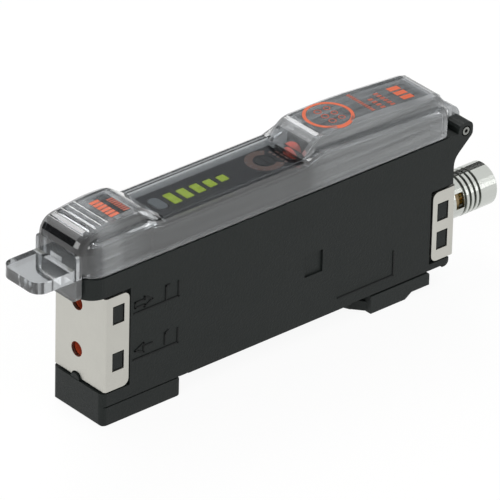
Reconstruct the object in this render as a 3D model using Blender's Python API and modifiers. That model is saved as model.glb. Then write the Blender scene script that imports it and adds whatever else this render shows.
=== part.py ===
"""Fibre optic sensor amplifier for a 35 mm rail, modelled in metres with +Z up.

Sizes are written in the case frame: X = 0 at the fibre end face, +X towards the plug, Y = 0 in the middle of
the narrow case, Z = 0 under the rail feet. One empty carries all pieces and puts the middle of the whole
length at the world origin.
"""

import math

import bmesh
import bpy
from mathutils import Matrix, Vector

# Clearances and helpers
GAP = 0.0003
FIT = 0.0002
BLEND = 0.0004
BEHIND = 0.00005
SKIM = 0.00001
REACH = 0.02
JOINT_MARK = 0.004
OUTLINE_SCALE = 1000.0
ROUND_STEPS = 24
CORNER_STEPS = 4

# Case
CASE_WIDTH = 0.0108
TAIL_LENGTH = 0.01495
FOOT_HEIGHT = 0.00295
CASE_HEIGHT = 0.02072
WALL = 0.0012
SIDE_WALL = 0.0011
NOSE_LENGTH = 0.0030
NOSE_HEIGHT = 0.00317
NOSE_ROUND = 0.0030
FOOT_LENGTH = 0.0135
FOOT_ROUND = 0.0003
FOOT_PROUD = 0.00035
FOOT_CORNER = 0.0010
FOOT_CORNER_LENGTH = 0.0012
FOOT_GROOVE = 0.0002
END_ROUND = 0.0008
TAIL_INSET = 0.00035
TAIL_LIP = 0.00155
TAIL_LIP_DROP = 0.0003
HOOK_REACH = 0.0014
HOOK_WIDTH = 0.0054
HOOK_HEIGHT = 0.0012
RAIL_GAP = 0.0354
RAIL_SHEET = 0.0013
SEAT_RELIEF = 0.00015
LABEL_X = 0.0362
LABEL_LENGTH = 0.0033
LABEL_RISE = 0.00755
LABEL_HEIGHT = 0.0035
LABEL_DEPTH = 0.0003

# Hinge of the cover
PIN_BEHIND_CASE = 0.00209
PIN_ABOVE_TOP = 0.00005
PIN_RADIUS = 0.00062
PIN_BORE_RADIUS = 0.00030
EAR_RADIUS = 0.0013
EAR_WIDTH = 0.0029
EAR_FRONT = 0.00144
KNUCKLE_RADIUS = 0.0023
KNUCKLE_PLAY = 0.0011

# Cover
COVER_WALL = 0.0010
COVER_SETBACK = 0.0007
COVER_REAR_ROUND = 0.0015
SHOULDER_HEIGHT = 0.00475
SHOULDER_FRONT_RISE = 0.00045
SHOULDER_FRONT_SLOPE = 0.0022
SHOULDER_STEP_RISE = 0.00085
SHOULDER_REAR_DROP = 0.0005
SHOULDER_SOFT = 0.0006
DOME_SETBACK = 0.0012
THUMB_SETBACK = 0.0011
DOME_SOFT = 0.0009
THUMB_END_X = 0.0109
THUMB_RISE = 0.00276
THUMB_CROWN_X = 0.0034
THUMB_CROWN_ROUND = 0.0200
THUMB_FRONT_DROP = 0.00096
THUMB_FRONT_ROUND = 0.0027
THUMB_REAR_SLOPE = 0.0034
THUMB_REAR_DROP = 0.0001
THUMB_REAR_ROUND = 0.0030
THUMB_END_DROP = 0.0024
WINDOW_START_X = 0.0113
WINDOW_LENGTH = 0.0256
WINDOW_RIM = 0.0015
WINDOW_DEPTH = 0.0003
RAMP_LENGTH = 0.0027
REAR_DOME_RISE = 0.00282
REAR_CROWN_X = 0.0485
REAR_CROWN_ROUND = 0.1000
REAR_CROWN_DROP = 0.00006
REAR_DOME_DROP = 0.00115
REAR_DOME_SLOPE = 0.0033
REAR_RAMP_SETBACK = 0.0004
REAR_RAMP_ROUND = 0.0035
REAR_DOME_ROUND = 0.0023
FLAP_SETBACK = 0.00105
FLAP_DROP = 0.00327
FLAP_RISE = 0.00428
FLAP_SHEET = 0.0010
FLAP_ROUND = 0.0009
SLOT_WIDTH = 0.0024
SLOT_HEIGHT = 0.0009
SLOT_RISE = 0.00223
TAB_LENGTH = 0.0065
TAB_SETBACK = 0.00142
TAB_SHEET = 0.0018
TAB_RISE = 0.00181
TAB_ROUND = 0.0018
GRIP_COUNT = 5
GRIP_PITCH = 0.00107
GRIP_FIRST = 0.0016
GRIP_SETBACK = 0.0005
GRIP_RADIUS = 0.00024

# Metal clips
CLIP_SHEET = 0.00045
CLIP_PROUD = 0.0001
CLIP_BEND = 0.00045
CLIP_REACH = 0.00425
CLIP_CORNER = 0.0010
FIBRE_CLIP_RISE = 0.00245
PLUG_CLIP_RISE = 0.00145
PLUG_CLIP_HEIGHT = 0.0112
WINDOW_X = 0.00235
CLIP_WINDOW_LENGTH = 0.00205
CLIP_WINDOW_HEIGHT = 0.0029
CLIP_NOTCH_RADIUS = 0.00115
FIBRE_CLIP_WINDOW_RISE = 0.0068
FIBRE_CLIP_WINDOW_PITCH = 0.00745
PLUG_CLIP_WINDOW_RISE = 0.00465
PLUG_CLIP_WINDOW_PITCH = 0.0046

# Fibre path
FIBRE_Y = 0.00058
FIBRE_RISE = 0.00675
FIBRE_PITCH = 0.00743
FIBRE_HOLE_RADIUS = 0.00115
BUSH_RADIUS = 0.00175
GUIDE_LENGTH = 0.0068
CLAMP_X = 0.0050
CLAMP_SHEET = 0.0016
CLAMP_WIDTH = 0.0038
CLAMP_BELOW_FIBRE = 0.0022
LOCK_TRAVEL = 0.0012
BUTTON_LENGTH = 0.0074
BUTTON_WIDTH = 0.0042
BUTTON_HEIGHT = 0.0026
BUTTON_RIB_COUNT = 4
DIODE_RADIUS = 0.0014
DIODE_LENGTH = 0.0029

# Display deck
DECK_SETBACK = 0.0019
DECK_START_X = 0.0109
BLOCK_WIDTH = 0.0059
BLOCK_ROOM = 0.00035
DISPLAY_ROOM = 0.00112
REAR_DECK_ROOM = 0.0005
REAR_DECK_SETBACK = 0.00125
FASCIA_SHEET = 0.0005
FASCIA_EDGE = 0.0001
DISPLAY_Y = 0.0004
BAR_FIRST_X = 0.01665
BAR_PITCH = 0.00225
BAR_WIDTH = 0.00125
BAR_LENGTHS = (0.0028, 0.0025, 0.0022, 0.0018, 0.0014)
GUIDE_DEPTH = 0.0032
KEY_X = 0.0140
KEY_LENGTH = 0.0032
KEY_WIDTH = 0.0018
KEY_PROUD = 0.00005
KEY_HEIGHT = 0.00395
KEY_TRAVEL = 0.0003
DIAL_X = 0.0333
DIAL_RADIUS = 0.0013
DIAL_HEAD = 0.0024
DIAL_STEM_RADIUS = 0.00075
DIAL_STEM_LENGTH = 0.0036
DIAL_SLOT_WIDTH = 0.0004
DIAL_SLOT_DEPTH = 0.0005
LAMP_X = 0.0385
LAMP_RADIUS = 0.0009
LAMP_HEIGHT = 0.0013
LAMP_SOCKET_DEPTH = 0.0012

# Inside electronics
BOARD_SHEET = 0.0010
BOARD_OFF_WALL = 0.0018
BOARD_SETBACK = 0.00475
BOARD_RISE = 0.0026
CARRIED_DEPTH = 0.0031
SWITCH_LENGTH = 0.0028
SWITCH_HEIGHT = 0.0034
PLUNGER_RADIUS = 0.0006
TRIMMER_LENGTH = 0.0038
TRIMMER_HEIGHT = 0.0028
LED_LENGTH = 0.0010
LED_DEPTH = 0.0014
LED_HEIGHT = 0.0012
LED_STRIP = 0.0004

# Plug
PLUG_RISE = 0.00705
PLUG_LENGTH = 0.01040
PLUG_RADIUS = 0.0033
PLUG_COLLAR_RADIUS = 0.00325
PLUG_COLLAR_LENGTH = 0.0040
PLUG_BORE_RADIUS = 0.00275
PLUG_GROOVE_DEPTH = 0.0003
PLUG_RIDGE_COUNT = 3
PLUG_RIDGE_PITCH = 0.0009
PLUG_CHAMFER = 0.0003
PLUG_FLANGE_RADIUS = 0.0039
PLUG_FLANGE_LENGTH = 0.0012
SEAL_LENGTH = 0.0006
INSULATOR_RADIUS = 0.0025
SOCKET_DEPTH = 0.0068
PIN_COUNT = 4
CONTACT_RADIUS = 0.0005
CONTACT_CIRCLE = 0.0013
CONTACT_RECESS = 0.0015
CONTACT_TAIL = 0.0016
CONTACT_PLATE = 0.0005
PLUG_WINDOW_LENGTH = 0.00155
PLUG_WINDOW_HEIGHT = 0.0023
PLUG_WINDOW_ALONG = 0.0032
PLUG_WINDOW_ABOVE = 0.0007
KEYWAY_WIDTH = 0.0004
KEYWAY_LENGTH = 0.0019

# Rail latch
LATCH_LENGTH = 0.01105
LATCH_TRAVEL = 0.0020
LATCH_FLAT = 0.0065
LATCH_TAIL_Z = 0.0008
LATCH_NOSE = 0.0034
LATCH_NOSE_WIDTH = 0.0054
LATCH_NOSE_FLAT = 0.0015
LATCH_NOSE_BLUNT = 0.00045
LATCH_NOSE_RISE = 0.0009
LATCH_GUSSET_WIDTH = 0.0090
LATCH_RIB_START = 0.0021
LATCH_RIB_LENGTH = 0.0055
LATCH_RIB_WIDTH = 0.0024
LATCH_HEAD_WIDTH = 0.0040
LATCH_HEAD_HEIGHT = 0.0014
SPRING_RADIUS = 0.0006
SPRING_WIRE = 0.00014
SPRING_TURNS = 7
SPRING_STEPS = 12

# Worked out from the sizes above
HALF = CASE_WIDTH / 2
KNUCKLE_WIDTH = CASE_WIDTH - 2 * EAR_WIDTH - 2 * KNUCKLE_PLAY
DOME_WIDTH = CASE_WIDTH - 2 * DOME_SETBACK
THUMB_WIDTH = CASE_WIDTH - 2 * THUMB_SETBACK
WINDOW_WIDTH = CASE_WIDTH - 2 * WINDOW_RIM
FLAP_WIDTH = CASE_WIDTH - 2 * FLAP_SETBACK
TAB_WIDTH = CASE_WIDTH - 2 * TAB_SETBACK
GRIP_LENGTH = THUMB_WIDTH - 2 * GRIP_SETBACK
DECK_WIDTH = CASE_WIDTH - 2 * DECK_SETBACK
FASCIA_WIDTH = DECK_WIDTH - 2 * FASCIA_EDGE
REAR_DECK_WIDTH = DOME_WIDTH - 2 * COVER_WALL - 2 * GAP
CASE_LENGTH = FOOT_LENGTH + RAIL_GAP + TAIL_LENGTH
LATCH_X = FOOT_LENGTH + RAIL_GAP
SEAT_Z = FOOT_HEIGHT
CASE_TOP_Z = SEAT_Z + CASE_HEIGHT
NOSE_X = -NOSE_LENGTH
NOSE_UNDER_Z = CASE_TOP_Z - NOSE_HEIGHT
PIN_X = CASE_LENGTH + PIN_BEHIND_CASE
PIN_Z = CASE_TOP_Z + PIN_ABOVE_TOP
COVER_LOW_Z = CASE_TOP_Z + GAP
COVER_REAR_X = CASE_LENGTH - COVER_SETBACK
SHOULDER_Z = COVER_LOW_Z + SHOULDER_HEIGHT
SHOULDER_FRONT_Z = SHOULDER_Z + SHOULDER_FRONT_RISE
SHOULDER_STEP_Z = SHOULDER_Z + SHOULDER_STEP_RISE
SHOULDER_REAR_Z = SHOULDER_Z - SHOULDER_REAR_DROP
THUMB_TOP_Z = SHOULDER_Z + THUMB_RISE
THUMB_FRONT_Z = THUMB_TOP_Z - THUMB_FRONT_DROP
REAR_DOME_Z = SHOULDER_Z + REAR_DOME_RISE
REAR_DOME_LOW_Z = REAR_DOME_Z - REAR_DOME_DROP
WINDOW_END_X = WINDOW_START_X + WINDOW_LENGTH
WINDOW_FLOOR_Z = SHOULDER_Z - WINDOW_DEPTH
RAMP_END_X = WINDOW_END_X + RAMP_LENGTH
SLOT_Z = COVER_LOW_Z + SLOT_RISE
TAB_TOP_Z = COVER_LOW_Z + TAB_RISE
FLAP_FRONT_X = NOSE_X - GAP - FLAP_SHEET
TAB_END_X = FLAP_FRONT_X - TAB_LENGTH
PLUG_Z = SEAT_Z + PLUG_RISE
PLUG_START_X = CASE_LENGTH + CLIP_SHEET
PLUG_END_X = PLUG_START_X + PLUG_LENGTH
CENTRE_X = (TAB_END_X + PLUG_END_X) / 2
CAVITY_START_X = CLIP_SHEET + GAP + WALL
CAVITY_END_X = CASE_LENGTH - GAP - WALL
CAVITY_LOW_Z = SEAT_Z + WALL
CAVITY_TOP_Z = CASE_TOP_Z - WALL
LID_PLATE_Y = HALF - SIDE_WALL
TUB_TOP_Y = LID_PLATE_Y - GAP
DECK_END_X = RAMP_END_X + 0.5 * WALL
REAR_DECK_END_X = COVER_REAR_X - COVER_WALL - REAR_DECK_SETBACK
DECK_TOP_Z = SHOULDER_Z - COVER_WALL - DISPLAY_ROOM
REAR_DECK_TOP_Z = REAR_DOME_LOW_Z - COVER_WALL - REAR_DECK_ROOM
FASCIA_START_X = DECK_START_X + WALL / 2
FASCIA_END_X = WINDOW_END_X - GAP
FASCIA_TOP_Z = DECK_TOP_Z + GAP + FASCIA_SHEET
KEY_LOW_Z = FASCIA_TOP_Z + KEY_PROUD - KEY_HEIGHT
GUIDE_BAR_LOW_Z = DECK_TOP_Z - GUIDE_DEPTH
DIAL_STEM_LOW_Z = FASCIA_TOP_Z - DIAL_HEAD - DIAL_STEM_LENGTH
FIBRE_CLIP_LOW_Z = SEAT_Z + FIBRE_CLIP_RISE
FIBRE_CLIP_HIGH_Z = NOSE_UNDER_Z - GAP
FIBRE_CLIP_WINDOWS = (
    SEAT_Z + FIBRE_CLIP_WINDOW_RISE,
    SEAT_Z + FIBRE_CLIP_WINDOW_RISE + FIBRE_CLIP_WINDOW_PITCH,
)
PLUG_CLIP_X = CASE_LENGTH + CLIP_SHEET
PLUG_CLIP_LOW_Z = SEAT_Z + PLUG_CLIP_RISE
PLUG_CLIP_HIGH_Z = PLUG_CLIP_LOW_Z + PLUG_CLIP_HEIGHT
PLUG_CLIP_WINDOWS = (
    SEAT_Z + PLUG_CLIP_WINDOW_RISE,
    SEAT_Z + PLUG_CLIP_WINDOW_RISE + PLUG_CLIP_WINDOW_PITCH,
)
FIBRE_HEIGHTS = (SEAT_Z + FIBRE_RISE, SEAT_Z + FIBRE_RISE + FIBRE_PITCH)
CLAMP_LOW_Z = FIBRE_HEIGHTS[0] - CLAMP_BELOW_FIBRE
GUIDE_START_X = CAVITY_START_X + GAP
GUIDE_END_X = GUIDE_START_X + GUIDE_LENGTH
GUIDE_TOP_Z = CAVITY_TOP_Z - GAP
BOARD_START_X = GUIDE_END_X + GAP + DIODE_LENGTH + GAP
BOARD_END_X = CAVITY_END_X - BOARD_SETBACK
BOARD_LOW_Z = CAVITY_LOW_Z + BOARD_RISE
BOARD_TOP_Z = CAVITY_TOP_Z - GAP
BOARD_Y = LID_PLATE_Y - BOARD_OFF_WALL
BOARD_FACE_Y = BOARD_Y - BOARD_SHEET / 2
CARRIED_Y = BOARD_FACE_Y - GAP - CARRIED_DEPTH / 2
HOOK_TOP_Z = SEAT_Z - RAIL_SHEET
RELIEF_Z = SEAT_Z + SEAT_RELIEF
SEAT_START_X = FOOT_LENGTH + HOOK_REACH + GAP
SEAT_END_X = LATCH_X - LATCH_NOSE - GAP


def clear_scene():
    """Removes whatever the file holds."""
    for item in list(bpy.data.objects):
        bpy.data.objects.remove(item, do_unlink=True)


def new_collection(name):
    """Makes a collection in the scene."""
    collection = bpy.data.collections.new(name)
    bpy.context.scene.collection.children.link(collection)
    return collection


clear_scene()
PARTS = new_collection("fibre_optic_sensor_amplifier")
CUTTERS = new_collection("cutters")
ROOT = bpy.data.objects.new("amplifier", None)
ROOT.location = (-CENTRE_X, 0, 0)
PARTS.objects.link(ROOT)


def material(name, colour, roughness, metallic=0.0, alpha=1.0):
    """Makes a Principled material."""
    made = bpy.data.materials.new(name)
    made.use_nodes = True
    shader = made.node_tree.nodes["Principled BSDF"]
    shader.inputs["Base Color"].default_value = (*colour, 1.0)
    shader.inputs["Roughness"].default_value = roughness
    shader.inputs["Metallic"].default_value = metallic
    shader.inputs["Alpha"].default_value = alpha
    made.diffuse_color = (*colour, alpha)
    return made


def to_object(name, mesh):
    """Puts a mesh in the case frame, under the root empty."""
    made = bpy.data.objects.new(name, mesh)
    PARTS.objects.link(made)
    made.parent = ROOT
    return made


def from_bmesh(name, shape):
    """Turns a bmesh into an object with its faces pointing out."""
    bmesh.ops.recalc_face_normals(shape, faces=shape.faces)
    mesh = bpy.data.meshes.new(name)
    shape.to_mesh(mesh)
    shape.free()
    return to_object(name, mesh)


def box(name, x, y, z):
    """A box between three pairs of limits."""
    shape = bmesh.new()
    size = Vector((x[1] - x[0], y[1] - y[0], z[1] - z[0]))
    middle = Vector((x[1] + x[0], y[1] + y[0], z[1] + z[0])) / 2
    bmesh.ops.create_cube(shape, size=1.0, matrix=Matrix.Translation(middle) @ Matrix.Diagonal((*size, 1.0)))
    return from_bmesh(name, shape)


def centred_box(name, x, width, z, y=0.0):
    """A box that spans a width about one Y."""
    return box(name, x, (y - width / 2, y + width / 2), z)


AXIS_TURNS = {
    "X": Matrix.Rotation(math.radians(90), 4, "Y"),
    "Y": Matrix.Rotation(math.radians(-90), 4, "X"),
    "Z": Matrix.Identity(4),
}


def rod(name, axis, centre, radius, span, steps=ROUND_STEPS):
    """A cylinder along one axis; centre gives the other two coordinates in order."""
    length = span[1] - span[0]
    middle = (span[0] + span[1]) / 2
    places = {
        "X": Vector((middle, centre[0], centre[1])),
        "Y": Vector((centre[0], middle, centre[1])),
        "Z": Vector((centre[0], centre[1], middle)),
    }
    shape = bmesh.new()
    bmesh.ops.create_cone(
        shape, cap_ends=True, segments=steps, radius1=radius, radius2=radius, depth=length,
        matrix=Matrix.Translation(places[axis]) @ AXIS_TURNS[axis])
    return from_bmesh(name, shape)


def turned_x(name, profile, y, z, steps=ROUND_STEPS):
    """A closed profile of (x, radius) points turned about an axis along X."""
    mesh = bpy.data.meshes.new(name)
    points = [(radius, 0.0, x) for x, radius in profile]
    edges = [(i, (i + 1) % len(points)) for i in range(len(points))]
    mesh.from_pydata(points, edges, [])
    mesh.transform(AXIS_TURNS["X"])
    made = to_object(name, mesh)
    made.location = (0, y, z)
    screw = made.modifiers.new("turn", "SCREW")
    screw.axis = "X"
    screw.steps = steps
    screw.render_steps = steps
    screw.use_merge_vertices = True
    screw.merge_threshold = 0.00001
    screw.use_smooth_shade = True
    return made


def arc_points(start, corner, end, radius, steps):
    """Points of the fillet that replaces one corner of an outline."""
    first = (Vector(start) - Vector(corner)).normalized()
    second = (Vector(end) - Vector(corner)).normalized()
    half_angle = first.angle(second) / 2
    setback = radius / math.tan(half_angle)
    centre = Vector(corner) + (first + second).normalized() * (radius / math.sin(half_angle))
    begin = Vector(corner) + first * setback - centre
    finish = Vector(corner) + second * setback - centre
    sweep = begin.angle_signed(finish)
    points = []
    for i in range(steps + 1):
        turn = -sweep * i / steps
        x = begin.x * math.cos(turn) - begin.y * math.sin(turn)
        y = begin.x * math.sin(turn) + begin.y * math.cos(turn)
        points.append((centre.x + x, centre.y + y))
    return points


def rounded(corners, steps=CORNER_STEPS):
    """An outline from (u, v, radius) corners, each with its own fillet."""
    outline = []
    count = len(corners)
    for i, (u, v, radius) in enumerate(corners):
        if radius == 0:
            outline.append((u, v))
            continue
        before = corners[i - 1][:2]
        after = corners[(i + 1) % count][:2]
        outline.extend(arc_points(before, (u, v), after, radius, steps))
    return outline


def rectangle(u, v, radius):
    """Corners of a rectangle with one fillet radius."""
    return [(u[0], v[0], radius), (u[1], v[0], radius), (u[1], v[1], radius), (u[0], v[1], radius)]


PLANE_TURNS = {
    "XY": Matrix.Identity(4),
    "XZ": Matrix.Rotation(math.radians(90), 4, "X"),
    "YZ": Matrix.Rotation(math.radians(90), 4, "Z") @ Matrix.Rotation(math.radians(90), 4, "X"),
}


def plate(name, outline, plane, span):
    """A flat outline given a thickness, as a welded mesh.

    The outline is filled at OUTLINE_SCALE times its size, because curve filling drops very short edges.
    """
    curve = bpy.data.curves.new(name, "CURVE")
    curve.dimensions = "2D"
    curve.fill_mode = "BOTH"
    curve.extrude = (span[1] - span[0]) / 2 * OUTLINE_SCALE
    spline = curve.splines.new("POLY")
    spline.points.add(len(outline) - 1)
    for point, (u, v) in zip(spline.points, outline):
        point.co = (u * OUTLINE_SCALE, v * OUTLINE_SCALE, 0.0, 1.0)
    spline.use_cyclic_u = True
    holder = bpy.data.objects.new(name, curve)
    PARTS.objects.link(holder)
    depsgraph = bpy.context.evaluated_depsgraph_get()
    mesh = bpy.data.meshes.new_from_object(holder.evaluated_get(depsgraph))
    bpy.data.objects.remove(holder, do_unlink=True)
    middle = (span[0] + span[1]) / 2
    offset = {"XY": (0, 0, middle), "XZ": (0, middle, 0), "YZ": (middle, 0, 0)}[plane]
    mesh.transform(Matrix.Translation(offset) @ PLANE_TURNS[plane] @ Matrix.Scale(1 / OUTLINE_SCALE, 4))
    shape = bmesh.new()
    shape.from_mesh(mesh)
    bpy.data.meshes.remove(mesh)
    bmesh.ops.remove_doubles(shape, verts=shape.verts, dist=0.000001)
    bmesh.ops.dissolve_limit(shape, angle_limit=math.radians(1), verts=shape.verts, edges=shape.edges)
    return from_bmesh(name, shape)


def boolean(piece, tool, operation):
    """Adds one boolean to a piece and puts the tool with the cutters."""
    step = piece.modifiers.new(tool.name, "BOOLEAN")
    step.operation = operation
    step.solver = "EXACT"
    step.object = tool
    if tool.name in PARTS.objects:
        PARTS.objects.unlink(tool)
        CUTTERS.objects.link(tool)
    tool.hide_render = True
    tool.display_type = "WIRE"
    return piece


def cut(piece, *tools):
    """Takes tools away from a piece."""
    for tool in tools:
        boolean(piece, tool, "DIFFERENCE")
    return piece


def join(piece, *tools):
    """Unites tools with a piece."""
    for tool in tools:
        boolean(piece, tool, "UNION")
    return piece


def soften(piece, width, segments=2):
    """Rounds the sharp edges of a piece."""
    bevel = piece.modifiers.new("soft_edges", "BEVEL")
    bevel.width = width
    bevel.segments = segments
    bevel.limit_method = "ANGLE"
    bevel.angle_limit = math.radians(60)
    return piece


def finish(piece, finish_material, smooth=False):
    """Gives a piece its material and its shading."""
    piece.data.materials.clear()
    piece.data.materials.append(finish_material)
    if smooth:
        piece.data.shade_smooth()
        piece.data.set_sharp_from_angle(angle=math.radians(35))
    return piece


def hang_on(piece, joint):
    """Moves a piece's origin onto its joint, which is an empty."""
    piece.data.transform(Matrix.Translation(-joint.location - piece.location))
    piece.location = (0, 0, 0)
    piece.parent = joint
    return piece


def joint_empty(name, place):
    """An empty on a joint's axis."""
    empty = bpy.data.objects.new(name, None)
    empty.location = place
    empty.empty_display_size = JOINT_MARK
    empty.parent = ROOT
    PARTS.objects.link(empty)
    return empty


BLACK_PLASTIC = material("black_plastic", (0.032, 0.036, 0.035), 0.55)
DARK_PLASTIC = material("dark_plastic", (0.02, 0.021, 0.023), 0.45)
SMOKE_CLEAR = material("smoke_clear", (0.42, 0.43, 0.43), 0.08, alpha=0.35)
STAINLESS = material("stainless", (0.52, 0.51, 0.48), 0.32, metallic=1.0)
NICKEL = material("nickel", (0.62, 0.64, 0.63), 0.16, metallic=1.0)
RED_PLASTIC = material("red_plastic", (0.45, 0.06, 0.03), 0.4)
FASCIA_BLUE = material("fascia_blue", (0.03, 0.03, 0.045), 0.3)
BAR_GREEN = material("bar_green", (0.40, 0.58, 0.05), 0.3)
KEY_GREY = material("key_grey", (0.17, 0.19, 0.21), 0.5)
BOARD_GREEN = material("board_green", (0.02, 0.14, 0.05), 0.4)
BROWN_PLASTIC = material("brown_plastic", (0.20, 0.15, 0.08), 0.5)
GOLD = material("gold_contacts", (0.8, 0.6, 0.25), 0.25, metallic=1.0)
SEAL_RUBBER = material("seal_rubber", (0.02, 0.02, 0.02), 0.8)
LAMP_RED = material("lamp_red", (0.6, 0.04, 0.02), 0.25)
DIODE_CLEAR = material("diode_resin", (0.35, 0.33, 0.30), 0.15)


def case_outline():
    """The case from the side, feet to hinge ears."""
    ear_right = PIN_X + EAR_RADIUS
    ear_left = PIN_X - EAR_FRONT
    return rounded([
        (-FOOT_PROUD, 0, FOOT_ROUND),
        (FOOT_LENGTH, 0, FOOT_ROUND),
        (FOOT_LENGTH, SEAT_Z + SEAT_RELIEF / 2, 0),
        (SEAT_START_X, SEAT_Z + SEAT_RELIEF / 2, 0),
        (SEAT_START_X, SEAT_Z, 0),
        (SEAT_END_X, SEAT_Z, 0),
        (SEAT_END_X, RELIEF_Z, 0),
        (CASE_LENGTH - TAIL_LIP, RELIEF_Z, 0),
        (CASE_LENGTH - TAIL_LIP, RELIEF_Z - TAIL_LIP_DROP, 0),
        (CASE_LENGTH - TAIL_INSET, RELIEF_Z - TAIL_LIP_DROP, END_ROUND),
        (CASE_LENGTH - TAIL_INSET, PLUG_CLIP_LOW_Z, 0),
        (CASE_LENGTH, PLUG_CLIP_LOW_Z, 0),
        (CASE_LENGTH, PIN_Z - 3 * EAR_RADIUS, 2 * EAR_RADIUS),
        (ear_right, PIN_Z - 0.6 * EAR_RADIUS, 0.7 * EAR_RADIUS),
        (ear_right, PIN_Z + EAR_RADIUS, 0.7 * EAR_RADIUS),
        (ear_left, PIN_Z + 1.1 * EAR_RADIUS, 0.9 * EAR_RADIUS),
        (ear_left, CASE_TOP_Z, 0),
        (NOSE_X, CASE_TOP_Z, 0),
        (NOSE_X, NOSE_UNDER_Z, 0),
        (0, NOSE_UNDER_Z, 0),
        (0, FIBRE_CLIP_LOW_Z, 0),
        (-FOOT_PROUD, FIBRE_CLIP_LOW_Z, 0),
    ])


def corner_cutter(name, corner, inward, radius, z):
    """Cutter that rounds one upright corner; inward points from the corner into the piece.

    Its arc ends SKIM outside both faces, so that it crosses them instead of touching them.
    """
    along, across = inward
    x = corner[0] - along * SKIM
    y = corner[1] - across * SKIM
    margin = radius / 2
    outline = arc_points((x, y + across * radius), (x, y), (x + along * radius, y), radius, 8)
    outline.extend([
        (x + along * radius, y - across * margin),
        (x - along * margin, y - across * margin),
        (x - along * margin, y + across * radius),
    ])
    return plate(name, outline, "XY", z)


def clip_block(name, face_x, inward, half_width, bend, z):
    """Block over one end of the case with two rounded corners, from above. face_x is its end face."""
    tip = face_x + inward * CLIP_REACH
    outline = rounded([
        (tip, -half_width, 0),
        (face_x, -half_width, bend),
        (face_x, half_width, bend),
        (tip, half_width, 0),
    ])
    return plate(name, outline, "XY", z)


def clip_recess(name, end_x, inward, low_z, high_z):
    """Cutter that seats a clip, with a gap behind and round it. It reaches far out of the case."""
    spread = REACH / 4
    outer = HALF + CLIP_PROUD + spread
    inner = HALF + CLIP_PROUD - CLIP_SHEET - GAP
    tip = end_x + inward * (CLIP_REACH + GAP)
    face = end_x - inward * spread
    inside = end_x + inward * (CLIP_SHEET + GAP)
    outline = [
        (tip, -outer),
        (face, -outer),
        (face, outer),
        (tip, outer),
        (tip, inner),
        (inside, inner),
        (inside, -inner),
        (tip, -inner),
    ]
    return plate(name, outline, "XY", (low_z - GAP, high_z + GAP))


def window_places(end_x, inward, heights):
    """Middle of each clip window, from the side."""
    return [(end_x + inward * WINDOW_X, z) for z in heights]


def clip_tabs(side, end_x, inward, heights):
    """Case tabs that stand in the windows of a clip, on one side of the case."""
    tabs = []
    length = CLIP_WINDOW_LENGTH - 2 * FIT
    height = CLIP_WINDOW_HEIGHT - 2 * FIT
    outer = side * HALF
    inner = side * (HALF - SIDE_WALL / 2 - CLIP_SHEET)
    for number, (x, z) in enumerate(window_places(end_x, inward, heights)):
        tabs.append(box(
            f"tab_{end_x:.3f}_{side}_{number}", (x - length / 2, x + length / 2),
            (min(outer, inner), max(outer, inner)), (z - height / 2, z + height / 2)))
    return tabs


def case_blank(name, side, limits):
    """The case between two Y limits, with its clip seats and foot groove."""
    piece = plate(name, case_outline(), "XZ", limits)
    nose_z = (NOSE_UNDER_Z - WALL, CASE_TOP_Z + WALL)
    cut(piece, corner_cutter(f"{name}_nose", (NOSE_X, side * HALF), (1, -side), NOSE_ROUND, nose_z))
    foot_z = (-GAP, FIBRE_CLIP_LOW_Z + GAP)
    for across in (-1, 1):
        corner = (-FOOT_PROUD, across * HALF)
        cut(piece, corner_cutter(f"{name}_foot_{across}", corner, (1, -across), FOOT_CORNER, foot_z))
    cut(piece, clip_recess(f"{name}_fibre_seat", 0.0, 1, FIBRE_CLIP_LOW_Z, FIBRE_CLIP_HIGH_Z))
    cut(piece, clip_recess(f"{name}_plug_seat", PLUG_CLIP_X, -1, PLUG_CLIP_LOW_Z, PLUG_CLIP_HIGH_Z))
    join(piece, *clip_tabs(side, 0.0, 1, FIBRE_CLIP_WINDOWS))
    join(piece, *clip_tabs(side, PLUG_CLIP_X, -1, PLUG_CLIP_WINDOWS))
    groove_z = (SEAT_Z - FOOT_GROOVE / 2, SEAT_Z + FOOT_GROOVE / 2)
    face = side * HALF
    depth = (face - FOOT_GROOVE, face + FOOT_GROOVE)
    cut(piece, box(f"{name}_groove", (-FOOT_PROUD - GAP, FOOT_LENGTH + FOOT_GROOVE), depth, groove_z))
    return piece


def ear_slot(name):
    """Cutter that leaves two ears and room for the cover's knuckle."""
    width = CASE_WIDTH - 2 * EAR_WIDTH
    start = PIN_X - KNUCKLE_RADIUS - 1.3 * GAP
    return centred_box(name, (start, start + REACH), width, (PIN_Z - KNUCKLE_RADIUS - 2 * GAP, 2 * REACH))


def flange_room(name):
    """Cutter that keeps the walls clear of the plug's flange and seal."""
    seal_end = CAVITY_END_X - GAP
    flange_start = seal_end - SEAL_LENGTH - GAP - PLUG_FLANGE_LENGTH
    return rod(
        name, "X", (0, PLUG_Z), PLUG_FLANGE_RADIUS + FIT, (flange_start - GAP, seal_end + GAP / 2), 24)


def pin_bore(name):
    """Cutter for the hinge pin's hole."""
    return rod(name, "Y", (PIN_X, PIN_Z), PIN_RADIUS + FIT, (-REACH, REACH), 16)


def far_side(name, length, height):
    """Cutter over the whole far side except the front corner of the foot."""
    return plate(name, [
        (length, -REACH / 4),
        (4 * REACH, -REACH / 4),
        (4 * REACH, 2 * REACH),
        (-REACH, 2 * REACH),
        (-REACH, height),
        (length, height),
    ], "XZ", (TUB_TOP_Y, HALF + REACH / 4))


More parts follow.
